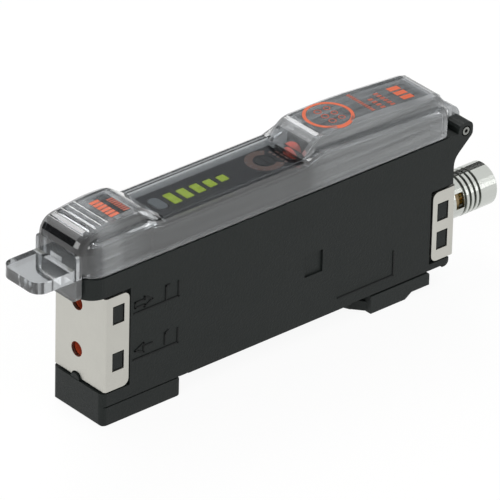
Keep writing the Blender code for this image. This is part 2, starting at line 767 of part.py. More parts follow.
def thumb_block():
    """Solid top of the case under the front dome, with a well for the lock button."""
    inset = COVER_WALL + BLOCK_ROOM
    profile = thumb_profile(inset)
    low = CASE_TOP_Z - WALL / 2
    profile[0] = (profile[0][0], low, 0)
    profile[1] = (profile[1][0], low, 0)
    block = plate("thumb_block", rounded(profile), "XZ", (-BLOCK_WIDTH / 2, BLOCK_WIDTH / 2))
    reach = BUTTON_LENGTH / 2 + GAP
    return cut(block, centred_box(
        "button_well", (CLAMP_X - reach, CLAMP_X + reach), BUTTON_WIDTH + 2 * GAP,
        (low - GAP, CASE_TOP_Z + 2 * REACH)))


def make_tub():
    """Case tub: near wall, ends, floor, top deck, nose, fixed foot and the near ear."""
    tub = case_blank("housing_tub", -1, (-HALF, HALF))
    cut(tub, far_side("tub_far_side", FOOT_CORNER_LENGTH, FIBRE_CLIP_LOW_Z - GAP / 2))
    join(
        tub,
        thumb_block(),
        rod(
            "notch_boss", "X", (FIBRE_Y, FIBRE_CLIP_LOW_Z - BLEND), CLIP_NOTCH_RADIUS - FIT,
            (-FOOT_PROUD + BEHIND, CLIP_SHEET + 2 * GAP)),
        centred_box(
            "deck", (DECK_START_X - WALL, DECK_END_X), DECK_WIDTH, (CASE_TOP_Z - WALL / 2, DECK_TOP_Z)),
        centred_box(
            "rear_deck", (DECK_END_X - GAP, REAR_DECK_END_X), REAR_DECK_WIDTH,
            (CASE_TOP_Z - WALL / 2, REAR_DECK_TOP_Z)),
        plate(
            "rail_hook", [
                (FOOT_LENGTH - WALL, HOOK_TOP_Z - HOOK_HEIGHT),
                (FOOT_LENGTH + HOOK_REACH / 2, HOOK_TOP_Z - HOOK_HEIGHT),
                (FOOT_LENGTH + HOOK_REACH, HOOK_TOP_Z - HOOK_HEIGHT / 2),
                (FOOT_LENGTH + HOOK_REACH, HOOK_TOP_Z),
                (FOOT_LENGTH - WALL, HOOK_TOP_Z),
            ], "XZ", (-HOOK_WIDTH / 2, HOOK_WIDTH / 2)))
    cavity = rectangle((CAVITY_START_X, CAVITY_END_X), (CAVITY_LOW_Z, CAVITY_TOP_Z), BLEND)
    cut(tub, plate("cavity", rounded(cavity), "XZ", (-HALF + WALL, HALF)))
    cut(tub, ear_slot("tub_ear_slot"), pin_bore("tub_pin_bore"))
    for number, z in enumerate(FIBRE_HEIGHTS):
        cut(tub, rod(f"bush_seat_{number}", "X", (FIBRE_Y, z), BUSH_RADIUS + FIT, (-REACH, CAVITY_START_X + GAP)))
    cut(tub, rod(
        "plug_seat", "X", (0, PLUG_Z), PLUG_COLLAR_RADIUS + FIT, (CAVITY_END_X - GAP, PLUG_START_X), 32))
    cut(tub, flange_room("tub_flange_room"))
    cut(tub, *deck_openings())
    rib_start = LATCH_X + LATCH_RIB_START
    cut(tub, centred_box(
        "latch_slot", (rib_start - GAP, rib_start + LATCH_RIB_LENGTH + LATCH_TRAVEL + GAP),
        LATCH_RIB_WIDTH + 2 * GAP, (0, CAVITY_LOW_Z + GAP)))
    label_z = SEAT_Z + LABEL_RISE
    cut(tub, box(
        "label_pocket", (LABEL_X, LABEL_X + LABEL_LENGTH), (-HALF - GAP, -HALF + LABEL_DEPTH),
        (label_z, label_z + LABEL_HEIGHT)))
    return finish(tub, BLACK_PLASTIC)


def stadium(name, x, y, length, width, z):
    """A bar along Y with round ends."""
    corners = rectangle((x - width / 2, x + width / 2), (y - length / 2, y + length / 2), 0.45 * width)
    return plate(name, rounded(corners, 6), "XY", z)


def clamp_span():
    """X limits of the fibre clamp."""
    return (CLAMP_X - CLAMP_SHEET / 2, CLAMP_X + CLAMP_SHEET / 2)


def deck_openings():
    """Cutters through the top of the tub for everything that stands in it.

    The bars' opening also clears the leds, which reach up into it from the board.
    """
    through = (CAVITY_TOP_Z - GAP, DECK_TOP_Z + GAP)
    clamp_x = clamp_span()
    bars_end = BAR_FIRST_X + BAR_PITCH * (len(BAR_LENGTHS) - 1)
    bars_half = BAR_LENGTHS[0] / 2 + 2 * FIT
    leds_near = BOARD_FACE_Y - GAP - LED_DEPTH - GAP
    bars_y = (min(DISPLAY_Y - bars_half, leds_near), max(DISPLAY_Y + bars_half, BOARD_FACE_Y))
    return [
        centred_box(
            "clamp_opening", (clamp_x[0] - GAP, clamp_x[1] + GAP), CLAMP_WIDTH + 2 * GAP, through, FIBRE_Y),
        stadium("key_opening", KEY_X, DISPLAY_Y, KEY_LENGTH + 2 * FIT, KEY_WIDTH + 2 * FIT, through),
        box(
            "bar_opening", (BAR_FIRST_X - BAR_WIDTH / 2 - 2 * FIT, bars_end + BAR_WIDTH / 2 + 2 * FIT),
            bars_y, through),
        rod("dial_opening", "Z", (DIAL_X, DISPLAY_Y), DIAL_STEM_RADIUS + FIT, through, 16),
        rod(
            "dial_well", "Z", (DIAL_X, DISPLAY_Y), DIAL_RADIUS + FIT,
            (FASCIA_TOP_Z - DIAL_HEAD - GAP, DECK_TOP_Z + GAP)),
        rod(
            "lamp_socket", "Z", (LAMP_X, DISPLAY_Y), LAMP_RADIUS + FIT,
            (DECK_TOP_Z - LAMP_SOCKET_DEPTH, DECK_TOP_Z + REACH / 4), 16),
    ]


def make_side_cover():
    """Far wall of the case with the far ear and two ribs that hold the board."""
    plate_side = case_blank("side_cover", 1, (LID_PLATE_Y, HALF))
    cut(plate_side, box(
        "foot_corner", (-REACH / 4, FOOT_CORNER_LENGTH + GAP), (LID_PLATE_Y - GAP, HALF + GAP),
        (-GAP, FIBRE_CLIP_LOW_Z + GAP / 2)))
    cut(plate_side, pin_bore("side_pin_bore"), flange_room("side_flange_room"))
    ribs = (BOARD_START_X + WALL, BOARD_END_X - 2 * WALL)
    board_back = BOARD_Y + BOARD_SHEET / 2
    for number, x in enumerate(ribs):
        join(plate_side, box(
            f"board_rib_{number}", (x, x + WALL), (board_back + GAP, LID_PLATE_Y + SIDE_WALL / 2),
            (BOARD_LOW_Z, BOARD_TOP_Z)))
    return finish(plate_side, BLACK_PLASTIC)


def free_corner(name, corner, inward):
    """Cutter that rounds one free corner of a clip on both sides; inward points into the sheet."""
    x, z = corner
    along, up = inward
    margin = CLIP_CORNER / 2
    outline = arc_points(
        (x, z + up * CLIP_REACH), (x, z), (x + along * CLIP_REACH, z), CLIP_CORNER, CORNER_STEPS)
    outline.extend([
        (x + along * CLIP_CORNER, z - up * margin),
        (x - along * margin, z - up * margin),
        (x - along * margin, z + up * CLIP_CORNER),
    ])
    return plate(name, outline, "XZ", (-2 * HALF, 2 * HALF))


def make_clip(name, end_x, inward, low_z, high_z, windows):
    """Bent sheet clip with its windows and rounded free corners."""
    outer = HALF + CLIP_PROUD
    clip = clip_block(name, end_x, inward, outer, CLIP_BEND, (low_z, high_z))
    cut(clip, clip_block(
        f"{name}_hollow", end_x + inward * CLIP_SHEET, inward, outer - CLIP_SHEET, CLIP_BEND / 2,
        (low_z - GAP, high_z + GAP)))
    tip = end_x + inward * CLIP_REACH
    cut(clip, free_corner(f"{name}_low_corner", (tip, low_z), (-inward, 1)))
    cut(clip, free_corner(f"{name}_high_corner", (tip, high_z), (-inward, -1)))
    for number, (x, z) in enumerate(window_places(end_x, inward, windows)):
        cut(clip, box(
            f"{name}_window_{number}", (x - CLIP_WINDOW_LENGTH / 2, x + CLIP_WINDOW_LENGTH / 2),
            (-2 * HALF, 2 * HALF), (z - CLIP_WINDOW_HEIGHT / 2, z + CLIP_WINDOW_HEIGHT / 2)))
    return clip


def make_clips():
    """The two metal clips, at the fibre end and at the plug end."""
    fibre_clip = make_clip("fibre_end_clip", 0.0, 1, FIBRE_CLIP_LOW_Z, FIBRE_CLIP_HIGH_Z, FIBRE_CLIP_WINDOWS)
    for number, z in enumerate(FIBRE_HEIGHTS):
        cut(fibre_clip, rod(
            f"clip_fibre_hole_{number}", "X", (FIBRE_Y, z), FIBRE_HOLE_RADIUS, (-REACH / 4, REACH / 4)))
    cut(fibre_clip, rod(
        "clip_notch", "X", (FIBRE_Y, FIBRE_CLIP_LOW_Z - BLEND), CLIP_NOTCH_RADIUS, (-REACH / 4, REACH / 4)))
    plug_clip = make_clip(
        "plug_end_clip", PLUG_CLIP_X, -1, PLUG_CLIP_LOW_Z, PLUG_CLIP_HIGH_Z, PLUG_CLIP_WINDOWS)
    cut(plug_clip, rod(
        "clip_plug_hole", "X", (0, PLUG_Z), PLUG_COLLAR_RADIUS + FIT,
        (CASE_LENGTH - GAP, PLUG_CLIP_X + GAP), 32))
    finish(fibre_clip, STAINLESS)
    finish(plug_clip, STAINLESS)


def shoulder_profile(inset):
    """Side view of the cover's full-width body; inset moves it in by a wall."""
    front = NOSE_X + inset
    rear = COVER_REAR_X - inset
    return [
        (front, COVER_LOW_Z - 2 * WALL, 0),
        (rear, COVER_LOW_Z - 2 * WALL, 0),
        (rear, SHOULDER_REAR_Z - inset, 0),
        (RAMP_END_X, SHOULDER_STEP_Z - inset, 0),
        (WINDOW_END_X, SHOULDER_Z - inset, 0),
        (THUMB_END_X, SHOULDER_Z - inset, 0),
        (THUMB_END_X - SHOULDER_FRONT_SLOPE, SHOULDER_FRONT_Z - inset, 0),
        (front, SHOULDER_FRONT_Z - inset, 0),
    ]


def thumb_profile(inset):
    """Side view of the ribbed front dome; inset moves it in by a wall."""
    front = FLAP_FRONT_X + BEHIND + inset
    rear = THUMB_END_X - inset / 2
    return [
        (front, COVER_LOW_Z, 0),
        (rear, COVER_LOW_Z, 0),
        (rear, THUMB_TOP_Z - THUMB_END_DROP - inset, 0),
        (THUMB_END_X - THUMB_REAR_SLOPE - inset / 3, THUMB_TOP_Z - THUMB_REAR_DROP - inset, THUMB_REAR_ROUND),
        (THUMB_CROWN_X, THUMB_TOP_Z - inset, THUMB_CROWN_ROUND),
        (front, THUMB_FRONT_Z - inset, THUMB_FRONT_ROUND - inset),
    ]


def thumb_surface(x):
    """Height of the front dome at X, in front of its crown."""
    front = FLAP_FRONT_X + BEHIND
    slope = THUMB_FRONT_DROP / (THUMB_CROWN_X - front)
    tilt = math.atan(slope)
    line = THUMB_FRONT_Z + (x - front) * slope
    setback = THUMB_FRONT_ROUND * math.tan((math.pi / 2 - tilt) / 2)
    centre_x = front + THUMB_FRONT_ROUND
    if x > centre_x - THUMB_FRONT_ROUND * math.sin(tilt):
        return line
    centre_z = THUMB_FRONT_Z - setback
    return centre_z + math.sqrt(THUMB_FRONT_ROUND ** 2 - (x - centre_x) ** 2)


def rear_profile(inset):
    """Side view of the rear dome with its ramp; inset moves it in by a wall."""
    rear = COVER_REAR_X - BEHIND - inset
    ramp = inset / 2
    return [
        (RAMP_END_X - REAR_DOME_SLOPE + ramp, COVER_LOW_Z + WALL, 0),
        (rear, COVER_LOW_Z + WALL, 0),
        (rear, REAR_DOME_LOW_Z - inset, REAR_DOME_ROUND - inset),
        (REAR_CROWN_X, REAR_DOME_Z - inset, REAR_CROWN_ROUND),
        (RAMP_END_X - REAR_RAMP_SETBACK + ramp, REAR_DOME_Z - REAR_CROWN_DROP - inset, REAR_RAMP_ROUND),
        (RAMP_END_X - REAR_DOME_SLOPE + ramp, SHOULDER_Z - inset, 0),
    ]


def round_uprights(piece, name, inset):
    """Rounds the four upright corners of the cover's body or of its hollow."""
    z = (COVER_LOW_Z - 3 * WALL, REAR_DOME_Z)
    for end, inward, radius in ((NOSE_X, 1, NOSE_ROUND), (COVER_REAR_X, -1, COVER_REAR_ROUND)):
        for side in (-1, 1):
            corner = (end + inward * inset, side * (HALF - inset))
            cut(piece, corner_cutter(f"{name}_{inward}_{side}", corner, (inward, -side), radius - inset, z))
    return piece


def make_cover():
    """Smoky lid: body, ribbed thumb dome, window, rear dome, front flap, pull tab and hinge knuckle."""
    cover = plate("cover", rounded(shoulder_profile(0)), "XZ", (-HALF, HALF))
    round_uprights(cover, "cover_round", 0)
    soften(cover, SHOULDER_SOFT)
    cut(cover, centred_box("cover_base_trim", (-REACH, CASE_LENGTH + REACH), 4 * HALF, (0, COVER_LOW_Z)))
    thumb = plate("thumb_dome", rounded(thumb_profile(0)), "XZ", (-THUMB_WIDTH / 2, THUMB_WIDTH / 2))
    rear = plate("rear_dome", rounded(rear_profile(0)), "XZ", (-DOME_WIDTH / 2, DOME_WIDTH / 2))
    join(cover, soften(thumb, DOME_SOFT), soften(rear, DOME_SOFT))
    flap_z = (COVER_LOW_Z - FLAP_DROP, COVER_LOW_Z + FLAP_RISE)
    flap = rectangle((-FLAP_WIDTH / 2, FLAP_WIDTH / 2), flap_z, FLAP_ROUND)
    tab = rounded([
        (TAB_END_X, -TAB_WIDTH / 2, TAB_ROUND),
        (FLAP_FRONT_X + FLAP_SHEET / 2, -TAB_WIDTH / 2, 0),
        (FLAP_FRONT_X + FLAP_SHEET / 2, TAB_WIDTH / 2, 0),
        (TAB_END_X, TAB_WIDTH / 2, TAB_ROUND),
    ], steps=6)
    join(
        cover,
        plate("flap", rounded(flap), "YZ", (FLAP_FRONT_X, FLAP_FRONT_X + FLAP_SHEET)),
        plate("pull_tab", tab, "XY", (TAB_TOP_Z - TAB_SHEET, TAB_TOP_Z)))
    inner_half = HALF - COVER_WALL
    hollow = plate("cover_hollow", rounded(shoulder_profile(COVER_WALL)), "XZ", (-inner_half, inner_half))
    round_uprights(hollow, "hollow_round", COVER_WALL)
    thumb_half = THUMB_WIDTH / 2 - COVER_WALL
    dome_half = DOME_WIDTH / 2 - COVER_WALL
    cut(
        cover, hollow,
        plate("thumb_hollow", rounded(thumb_profile(COVER_WALL)), "XZ", (-thumb_half, thumb_half)),
        plate("rear_hollow", rounded(rear_profile(COVER_WALL)), "XZ", (-dome_half, dome_half)))
    cut(cover, centred_box("window_recess", (WINDOW_START_X, WINDOW_END_X), WINDOW_WIDTH,
                           (WINDOW_FLOOR_Z, REAR_DOME_Z)))
    cut(cover, centred_box(
        "flap_slot", (FLAP_FRONT_X - GAP, NOSE_X + 2 * COVER_WALL), SLOT_WIDTH,
        (SLOT_Z - SLOT_HEIGHT / 2, SLOT_Z + SLOT_HEIGHT / 2)))
    join(
        cover,
        centred_box("hinge_arm", (COVER_REAR_X - COVER_WALL / 2, PIN_X), KNUCKLE_WIDTH,
                    (COVER_LOW_Z, PIN_Z + KNUCKLE_RADIUS - BEHIND)),
        rod("knuckle", "Y", (PIN_X, PIN_Z), KNUCKLE_RADIUS, (-KNUCKLE_WIDTH / 2 - BEHIND, KNUCKLE_WIDTH / 2 + BEHIND)))
    cut(cover, pin_bore("knuckle_bore"))
    cut(cover, *grip_grooves())
    finish(cover, SMOKE_CLEAR, smooth=True)
    hang_on(cover, joint_empty("cover_hinge", (PIN_X, 0, PIN_Z)))


def grip_grooves():
    """Cutters for the thumb grooves across the front dome."""
    grooves = []
    for number in range(GRIP_COUNT):
        x = FLAP_FRONT_X + GRIP_FIRST + number * GRIP_PITCH
        z = thumb_surface(x) + 0.4 * GRIP_RADIUS
        grooves.append(rod(
            f"grip_groove_{number}", "Y", (x, z), GRIP_RADIUS, (-GRIP_LENGTH / 2, GRIP_LENGTH / 2), 10))
    return grooves


def make_hinge_pin():
    """Tubular pin through both ears."""
    pin = rod("hinge_pin", "Y", (PIN_X, PIN_Z), PIN_RADIUS, (-HALF, HALF), 16)
    cut(pin, rod("pin_hollow", "Y", (PIN_X, PIN_Z), PIN_BORE_RADIUS, (-REACH, REACH), 12))
    finish(pin, NICKEL, smooth=True)


def make_rail_latch():
    """Sliding foot with its wedge nose, and the rib and head that hold it in the floor."""
    top = RELIEF_Z - GAP
    end = LATCH_X + LATCH_LENGTH
    latch = plate("rail_latch", rounded([
        (LATCH_X, 0, 0),
        (LATCH_X + LATCH_FLAT, 0, BLEND),
        (LATCH_X + LATCH_FLAT + 1.5 * LATCH_TAIL_Z, LATCH_TAIL_Z, BLEND),
        (end, LATCH_TAIL_Z, 0),
        (end, top, BLEND),
        (LATCH_X, top, 0),
    ]), "XZ", (-HALF, HALF))
    nose_tip = LATCH_X - LATCH_NOSE
    rib = (LATCH_X + LATCH_RIB_START, LATCH_X + LATCH_RIB_START + LATCH_RIB_LENGTH)
    head_z = CAVITY_LOW_Z + GAP
    join(
        latch,
        plate("latch_nose", [
            (nose_tip, HOOK_TOP_Z - GAP / 2),
            (nose_tip + LATCH_NOSE_BLUNT, LATCH_NOSE_RISE),
            (LATCH_X - LATCH_NOSE_FLAT, BEHIND),
            (LATCH_X + WALL, BEHIND),
            (LATCH_X + WALL, HOOK_TOP_Z),
            (nose_tip + GAP / 2, HOOK_TOP_Z),
        ], "XZ", (-LATCH_NOSE_WIDTH / 2, LATCH_NOSE_WIDTH / 2)),
        plate("latch_gusset", [
            (LATCH_X - LATCH_NOSE_FLAT, -LATCH_NOSE_WIDTH / 2),
            (LATCH_X, -LATCH_GUSSET_WIDTH / 2),
            (LATCH_X + WALL, -LATCH_GUSSET_WIDTH / 2),
            (LATCH_X + WALL, LATCH_GUSSET_WIDTH / 2),
            (LATCH_X, LATCH_GUSSET_WIDTH / 2),
            (LATCH_X - LATCH_NOSE_FLAT, LATCH_NOSE_WIDTH / 2),
        ], "XY", (2 * BEHIND, HOOK_TOP_Z - BEHIND)),
        centred_box("latch_rib", rib, LATCH_RIB_WIDTH, (top - GAP, head_z + GAP)),
        centred_box("latch_head", rib, LATCH_HEAD_WIDTH, (head_z, head_z + LATCH_HEAD_HEIGHT)))
    cut(latch, centred_box(
        "driver_slot", (end - 2 * WALL, end - WALL), LATCH_HEAD_WIDTH, (0, top - WALL)))
    finish(latch, BLACK_PLASTIC)
    hang_on(latch, joint_empty("latch_slide", (LATCH_X, 0, 0)))


def make_latch_spring():
    """Coil between the latch head and the end wall."""
    start = LATCH_X + LATCH_RIB_START + LATCH_RIB_LENGTH + GAP + SPRING_WIRE
    end = CAVITY_END_X - GAP - SPRING_WIRE
    centre_z = CAVITY_LOW_Z + GAP / 2 + SPRING_RADIUS + SPRING_WIRE
    curve = bpy.data.curves.new("latch_spring", "CURVE")
    curve.dimensions = "3D"
    curve.bevel_depth = SPRING_WIRE
    curve.bevel_resolution = 2
    curve.use_fill_caps = True
    spline = curve.splines.new("POLY")
    count = SPRING_TURNS * SPRING_STEPS
    spline.points.add(count)
    for i, point in enumerate(spline.points):
        turn = 2 * math.pi * i / SPRING_STEPS
        x = start + (end - start) * i / count
        point.co = (x, SPRING_RADIUS * math.cos(turn), centre_z + SPRING_RADIUS * math.sin(turn), 1.0)
    spring = bpy.data.objects.new("latch_spring", curve)
    spring.parent = ROOT
    PARTS.objects.link(spring)
    curve.materials.append(STAINLESS)


def make_fibre_parts():
    """Entry bushes, guide block and the two diodes on the fibre path."""
    guide_low = CAVITY_LOW_Z + GAP
    guide_y = (-HALF + WALL + GAP, LID_PLATE_Y - 2 * GAP)
    guide = box("fibre_guide", (GUIDE_START_X, GUIDE_END_X), guide_y, (guide_low, GUIDE_TOP_Z))
    clamp_x = clamp_span()
    cut(guide, centred_box(
        "clamp_channel", (clamp_x[0] - GAP, clamp_x[1] + GAP), CLAMP_WIDTH + 2 * GAP,
        (CLAMP_LOW_Z - GAP, CASE_TOP_Z), FIBRE_Y))
    names = ("emitter", "receiver")
    for name, z in zip(names, FIBRE_HEIGHTS):
        cut(guide, rod(
            f"{name}_bore", "X", (FIBRE_Y, z), FIBRE_HOLE_RADIUS, (CAVITY_START_X, GUIDE_END_X + GAP), 16))
        bush = rod(
            f"{name}_fibre_bush", "X", (FIBRE_Y, z), BUSH_RADIUS, (CLIP_SHEET + GAP, CAVITY_START_X))
        cut(bush, rod(f"{name}_bush_bore", "X", (FIBRE_Y, z), FIBRE_HOLE_RADIUS, (-REACH, REACH)))
        finish(bush, RED_PLASTIC, smooth=True)
        diode = rod(
            f"{name}_diode", "X", (FIBRE_Y, z), DIODE_RADIUS,
            (GUIDE_END_X + GAP, GUIDE_END_X + GAP + DIODE_LENGTH), 16)
        finish(diode, DIODE_CLEAR, smooth=True)
    finish(guide, DARK_PLASTIC)


def make_fibre_lock():
    """Clamp plate across both fibres and the thumb button that carries it."""
    slide = joint_empty("fibre_lock_slide", (CLAMP_X, FIBRE_Y, CASE_TOP_Z))
    clamp_top = CASE_TOP_Z + GAP + WALL
    clamp = centred_box("fibre_clamp", clamp_span(), CLAMP_WIDTH, (CLAMP_LOW_Z, clamp_top), FIBRE_Y)
    for number, z in enumerate(FIBRE_HEIGHTS):
        cut(clamp, rod(
            f"clamp_hole_{number}", "X", (FIBRE_Y, z), FIBRE_HOLE_RADIUS + FIT,
            (CAVITY_START_X, GUIDE_END_X), 16))
    finish(clamp, RED_PLASTIC)
    low = CASE_TOP_Z + GAP
    button_x = (CLAMP_X - BUTTON_LENGTH / 2, CLAMP_X + BUTTON_LENGTH / 2)
    button_top = low + BUTTON_HEIGHT
    button = centred_box("lock_button", button_x, BUTTON_WIDTH, (low, button_top), 0)
    soften(button, BLEND)
    clamp_x = clamp_span()
    cut(button, centred_box(
        "button_socket", (clamp_x[0] - FIT, clamp_x[1] + FIT), CLAMP_WIDTH + 2 * FIT,
        (low - GAP, clamp_top + GAP), FIBRE_Y))
    pitch = BUTTON_LENGTH / (BUTTON_RIB_COUNT + 1)
    for number in range(BUTTON_RIB_COUNT):
        x = button_x[0] + pitch * (number + 1)
        cut(button, rod(
            f"button_groove_{number}", "Y", (x, button_top), GRIP_RADIUS, (-BUTTON_WIDTH, BUTTON_WIDTH), 10))
    finish(button, DARK_PLASTIC)
    hang_on(clamp, slide)
    hang_on(button, slide)


def bar_places():
    """X of each bar with its length."""
    return [(BAR_FIRST_X + number * BAR_PITCH, length) for number, length in enumerate(BAR_LENGTHS)]


def make_display():
    """Fascia, light guide, key, dial and lamp on the deck."""
    fascia = centred_box(
        "fascia", (FASCIA_START_X, FASCIA_END_X), FASCIA_WIDTH, (DECK_TOP_Z + GAP, FASCIA_TOP_Z))
    through = (DECK_TOP_Z, FASCIA_TOP_Z + GAP)
    cut(fascia, stadium("fascia_key", KEY_X, DISPLAY_Y, KEY_LENGTH + 2 * FIT, KEY_WIDTH + 2 * FIT, through))
    cut(fascia, rod("fascia_dial", "Z", (DIAL_X, DISPLAY_Y), DIAL_RADIUS + FIT, through))
    first, last = bar_places()[0][0], bar_places()[-1][0]
    guide = centred_box(
        "light_guide", (first - BAR_WIDTH / 2, last + BAR_WIDTH / 2), BAR_LENGTHS[0],
        (GUIDE_BAR_LOW_Z, DECK_TOP_Z), DISPLAY_Y)
    for number, (x, length) in enumerate(bar_places()):
        span = (x - BAR_WIDTH / 2, x + BAR_WIDTH / 2)
        join(guide, centred_box(
            f"bar_{number}", span, length, (DECK_TOP_Z - GAP, FASCIA_TOP_Z), DISPLAY_Y))
        hole = (span[0] - FIT, span[1] + FIT)
        cut(fascia, centred_box(f"bar_hole_{number}", hole, length + 2 * FIT, through, DISPLAY_Y))
    finish(fascia, FASCIA_BLUE)
    finish(guide, BAR_GREEN)
    lamp = rod(
        "switching_lamp", "Z", (LAMP_X, DISPLAY_Y), LAMP_RADIUS,
        (DECK_TOP_Z - LAMP_SOCKET_DEPTH + GAP, DECK_TOP_Z + LAMP_HEIGHT), 16)
    finish(soften(lamp, 0.6 * LAMP_RADIUS, 3), LAMP_RED, smooth=True)


def make_set_button():
    """Grey key in its guide hole above the switch."""
    key = stadium(
        "set_button", KEY_X, DISPLAY_Y, KEY_LENGTH, KEY_WIDTH, (KEY_LOW_Z, FASCIA_TOP_Z + KEY_PROUD))
    finish(key, KEY_GREY, smooth=True)
    hang_on(key, joint_empty("set_button_press", (KEY_X, DISPLAY_Y, FASCIA_TOP_Z)))


def make_dial():
    """Slotted rotor with its stem in the trimmer."""
    head_low = FASCIA_TOP_Z - DIAL_HEAD
    dial = rod("sensitivity_dial", "Z", (DIAL_X, DISPLAY_Y), DIAL_RADIUS, (head_low, FASCIA_TOP_Z))
    join(dial, rod(
        "dial_stem", "Z", (DIAL_X, DISPLAY_Y), DIAL_STEM_RADIUS, (DIAL_STEM_LOW_Z, head_low + GAP), 16))
    cut(dial, centred_box(
        "dial_slot", (DIAL_X - DIAL_SLOT_WIDTH / 2, DIAL_X + DIAL_SLOT_WIDTH / 2), 1.5 * DIAL_RADIUS,
        (FASCIA_TOP_Z - DIAL_SLOT_DEPTH, FASCIA_TOP_Z + GAP), DISPLAY_Y))
    finish(dial, DARK_PLASTIC)
    hang_on(dial, joint_empty("dial_turn", (DIAL_X, DISPLAY_Y, FASCIA_TOP_Z)))


def make_electronics():
    """Board with the switch, trimmer and leds that it carries."""
    board = centred_box(
        "circuit_board", (BOARD_START_X, BOARD_END_X), BOARD_SHEET, (BOARD_LOW_Z, BOARD_TOP_Z), BOARD_Y)
    finish(board, BOARD_GREEN)
    switch_top = KEY_LOW_Z - KEY_TRAVEL - GAP - WALL
    switch = centred_box(
        "set_switch", (KEY_X - SWITCH_LENGTH / 2, KEY_X + SWITCH_LENGTH / 2), CARRIED_DEPTH,
        (switch_top - SWITCH_HEIGHT, switch_top), CARRIED_Y)
    join(switch, rod(
        "plunger", "Z", (KEY_X, CARRIED_Y), PLUNGER_RADIUS, (switch_top - GAP, KEY_LOW_Z - KEY_TRAVEL - GAP), 12))
    finish(switch, DARK_PLASTIC)
    trimmer_top = CAVITY_TOP_Z - GAP
    trimmer = centred_box(
        "trimmer", (DIAL_X - TRIMMER_LENGTH / 2, DIAL_X + TRIMMER_LENGTH / 2), CARRIED_DEPTH,
        (trimmer_top - TRIMMER_HEIGHT, trimmer_top), CARRIED_Y)
    cut(trimmer, rod(
        "trimmer_bore", "Z", (DIAL_X, DISPLAY_Y), DIAL_STEM_RADIUS + FIT,
        (DIAL_STEM_LOW_Z - GAP, trimmer_top + GAP), 16))
    finish(trimmer, DARK_PLASTIC)
    led_back = BOARD_FACE_Y - GAP
    led_z = (GUIDE_BAR_LOW_Z - GAP - LED_HEIGHT, GUIDE_BAR_LOW_Z - GAP)
    first, last = bar_places()[0][0], bar_places()[-1][0]
    leds = box(
        "indicator_leds", (first - 0.7 * LED_LENGTH, last + 0.7 * LED_LENGTH), (led_back - LED_STRIP, led_back),
        (led_z[0] - LED_STRIP, led_z[1] - LED_STRIP))
    for number, (x, _) in enumerate(bar_places()):
        join(leds, box(
            f"led_{number}", (x - LED_LENGTH / 2, x + LED_LENGTH / 2),
            (led_back - LED_DEPTH, led_back - LED_STRIP / 2), led_z))
    finish(leds, BAR_GREEN)


def plug_profile():
    """Half section of the plug shell as (x, radius), from the inner flange to the open end."""
    flange_end = CAVITY_END_X - 2 * GAP - SEAL_LENGTH
    flange_start = flange_end - PLUG_FLANGE_LENGTH
    collar_end = PLUG_START_X + PLUG_COLLAR_LENGTH
    points = [
        (flange_start, PLUG_BORE_RADIUS),
        (flange_start, PLUG_FLANGE_RADIUS),
        (flange_end, PLUG_FLANGE_RADIUS),
        (flange_end, PLUG_COLLAR_RADIUS),
        (collar_end, PLUG_COLLAR_RADIUS),
    ]
    valley = PLUG_RADIUS - PLUG_GROOVE_DEPTH
    for number in range(PLUG_RIDGE_COUNT + 1):
        x = collar_end + number * PLUG_RIDGE_PITCH
        points.append((x + 0.1 * PLUG_RIDGE_PITCH, valley))
        points.append((x + 0.4 * PLUG_RIDGE_PITCH, valley))
        points.append((x + 0.5 * PLUG_RIDGE_PITCH, PLUG_RADIUS))
        if number < PLUG_RIDGE_COUNT:
            points.append((x + PLUG_RIDGE_PITCH, PLUG_RADIUS))
    points.extend([
        (PLUG_END_X - PLUG_CHAMFER, PLUG_RADIUS),
        (PLUG_END_X, PLUG_RADIUS - PLUG_CHAMFER),
        (PLUG_END_X, PLUG_BORE_RADIUS),
    ])
    return points


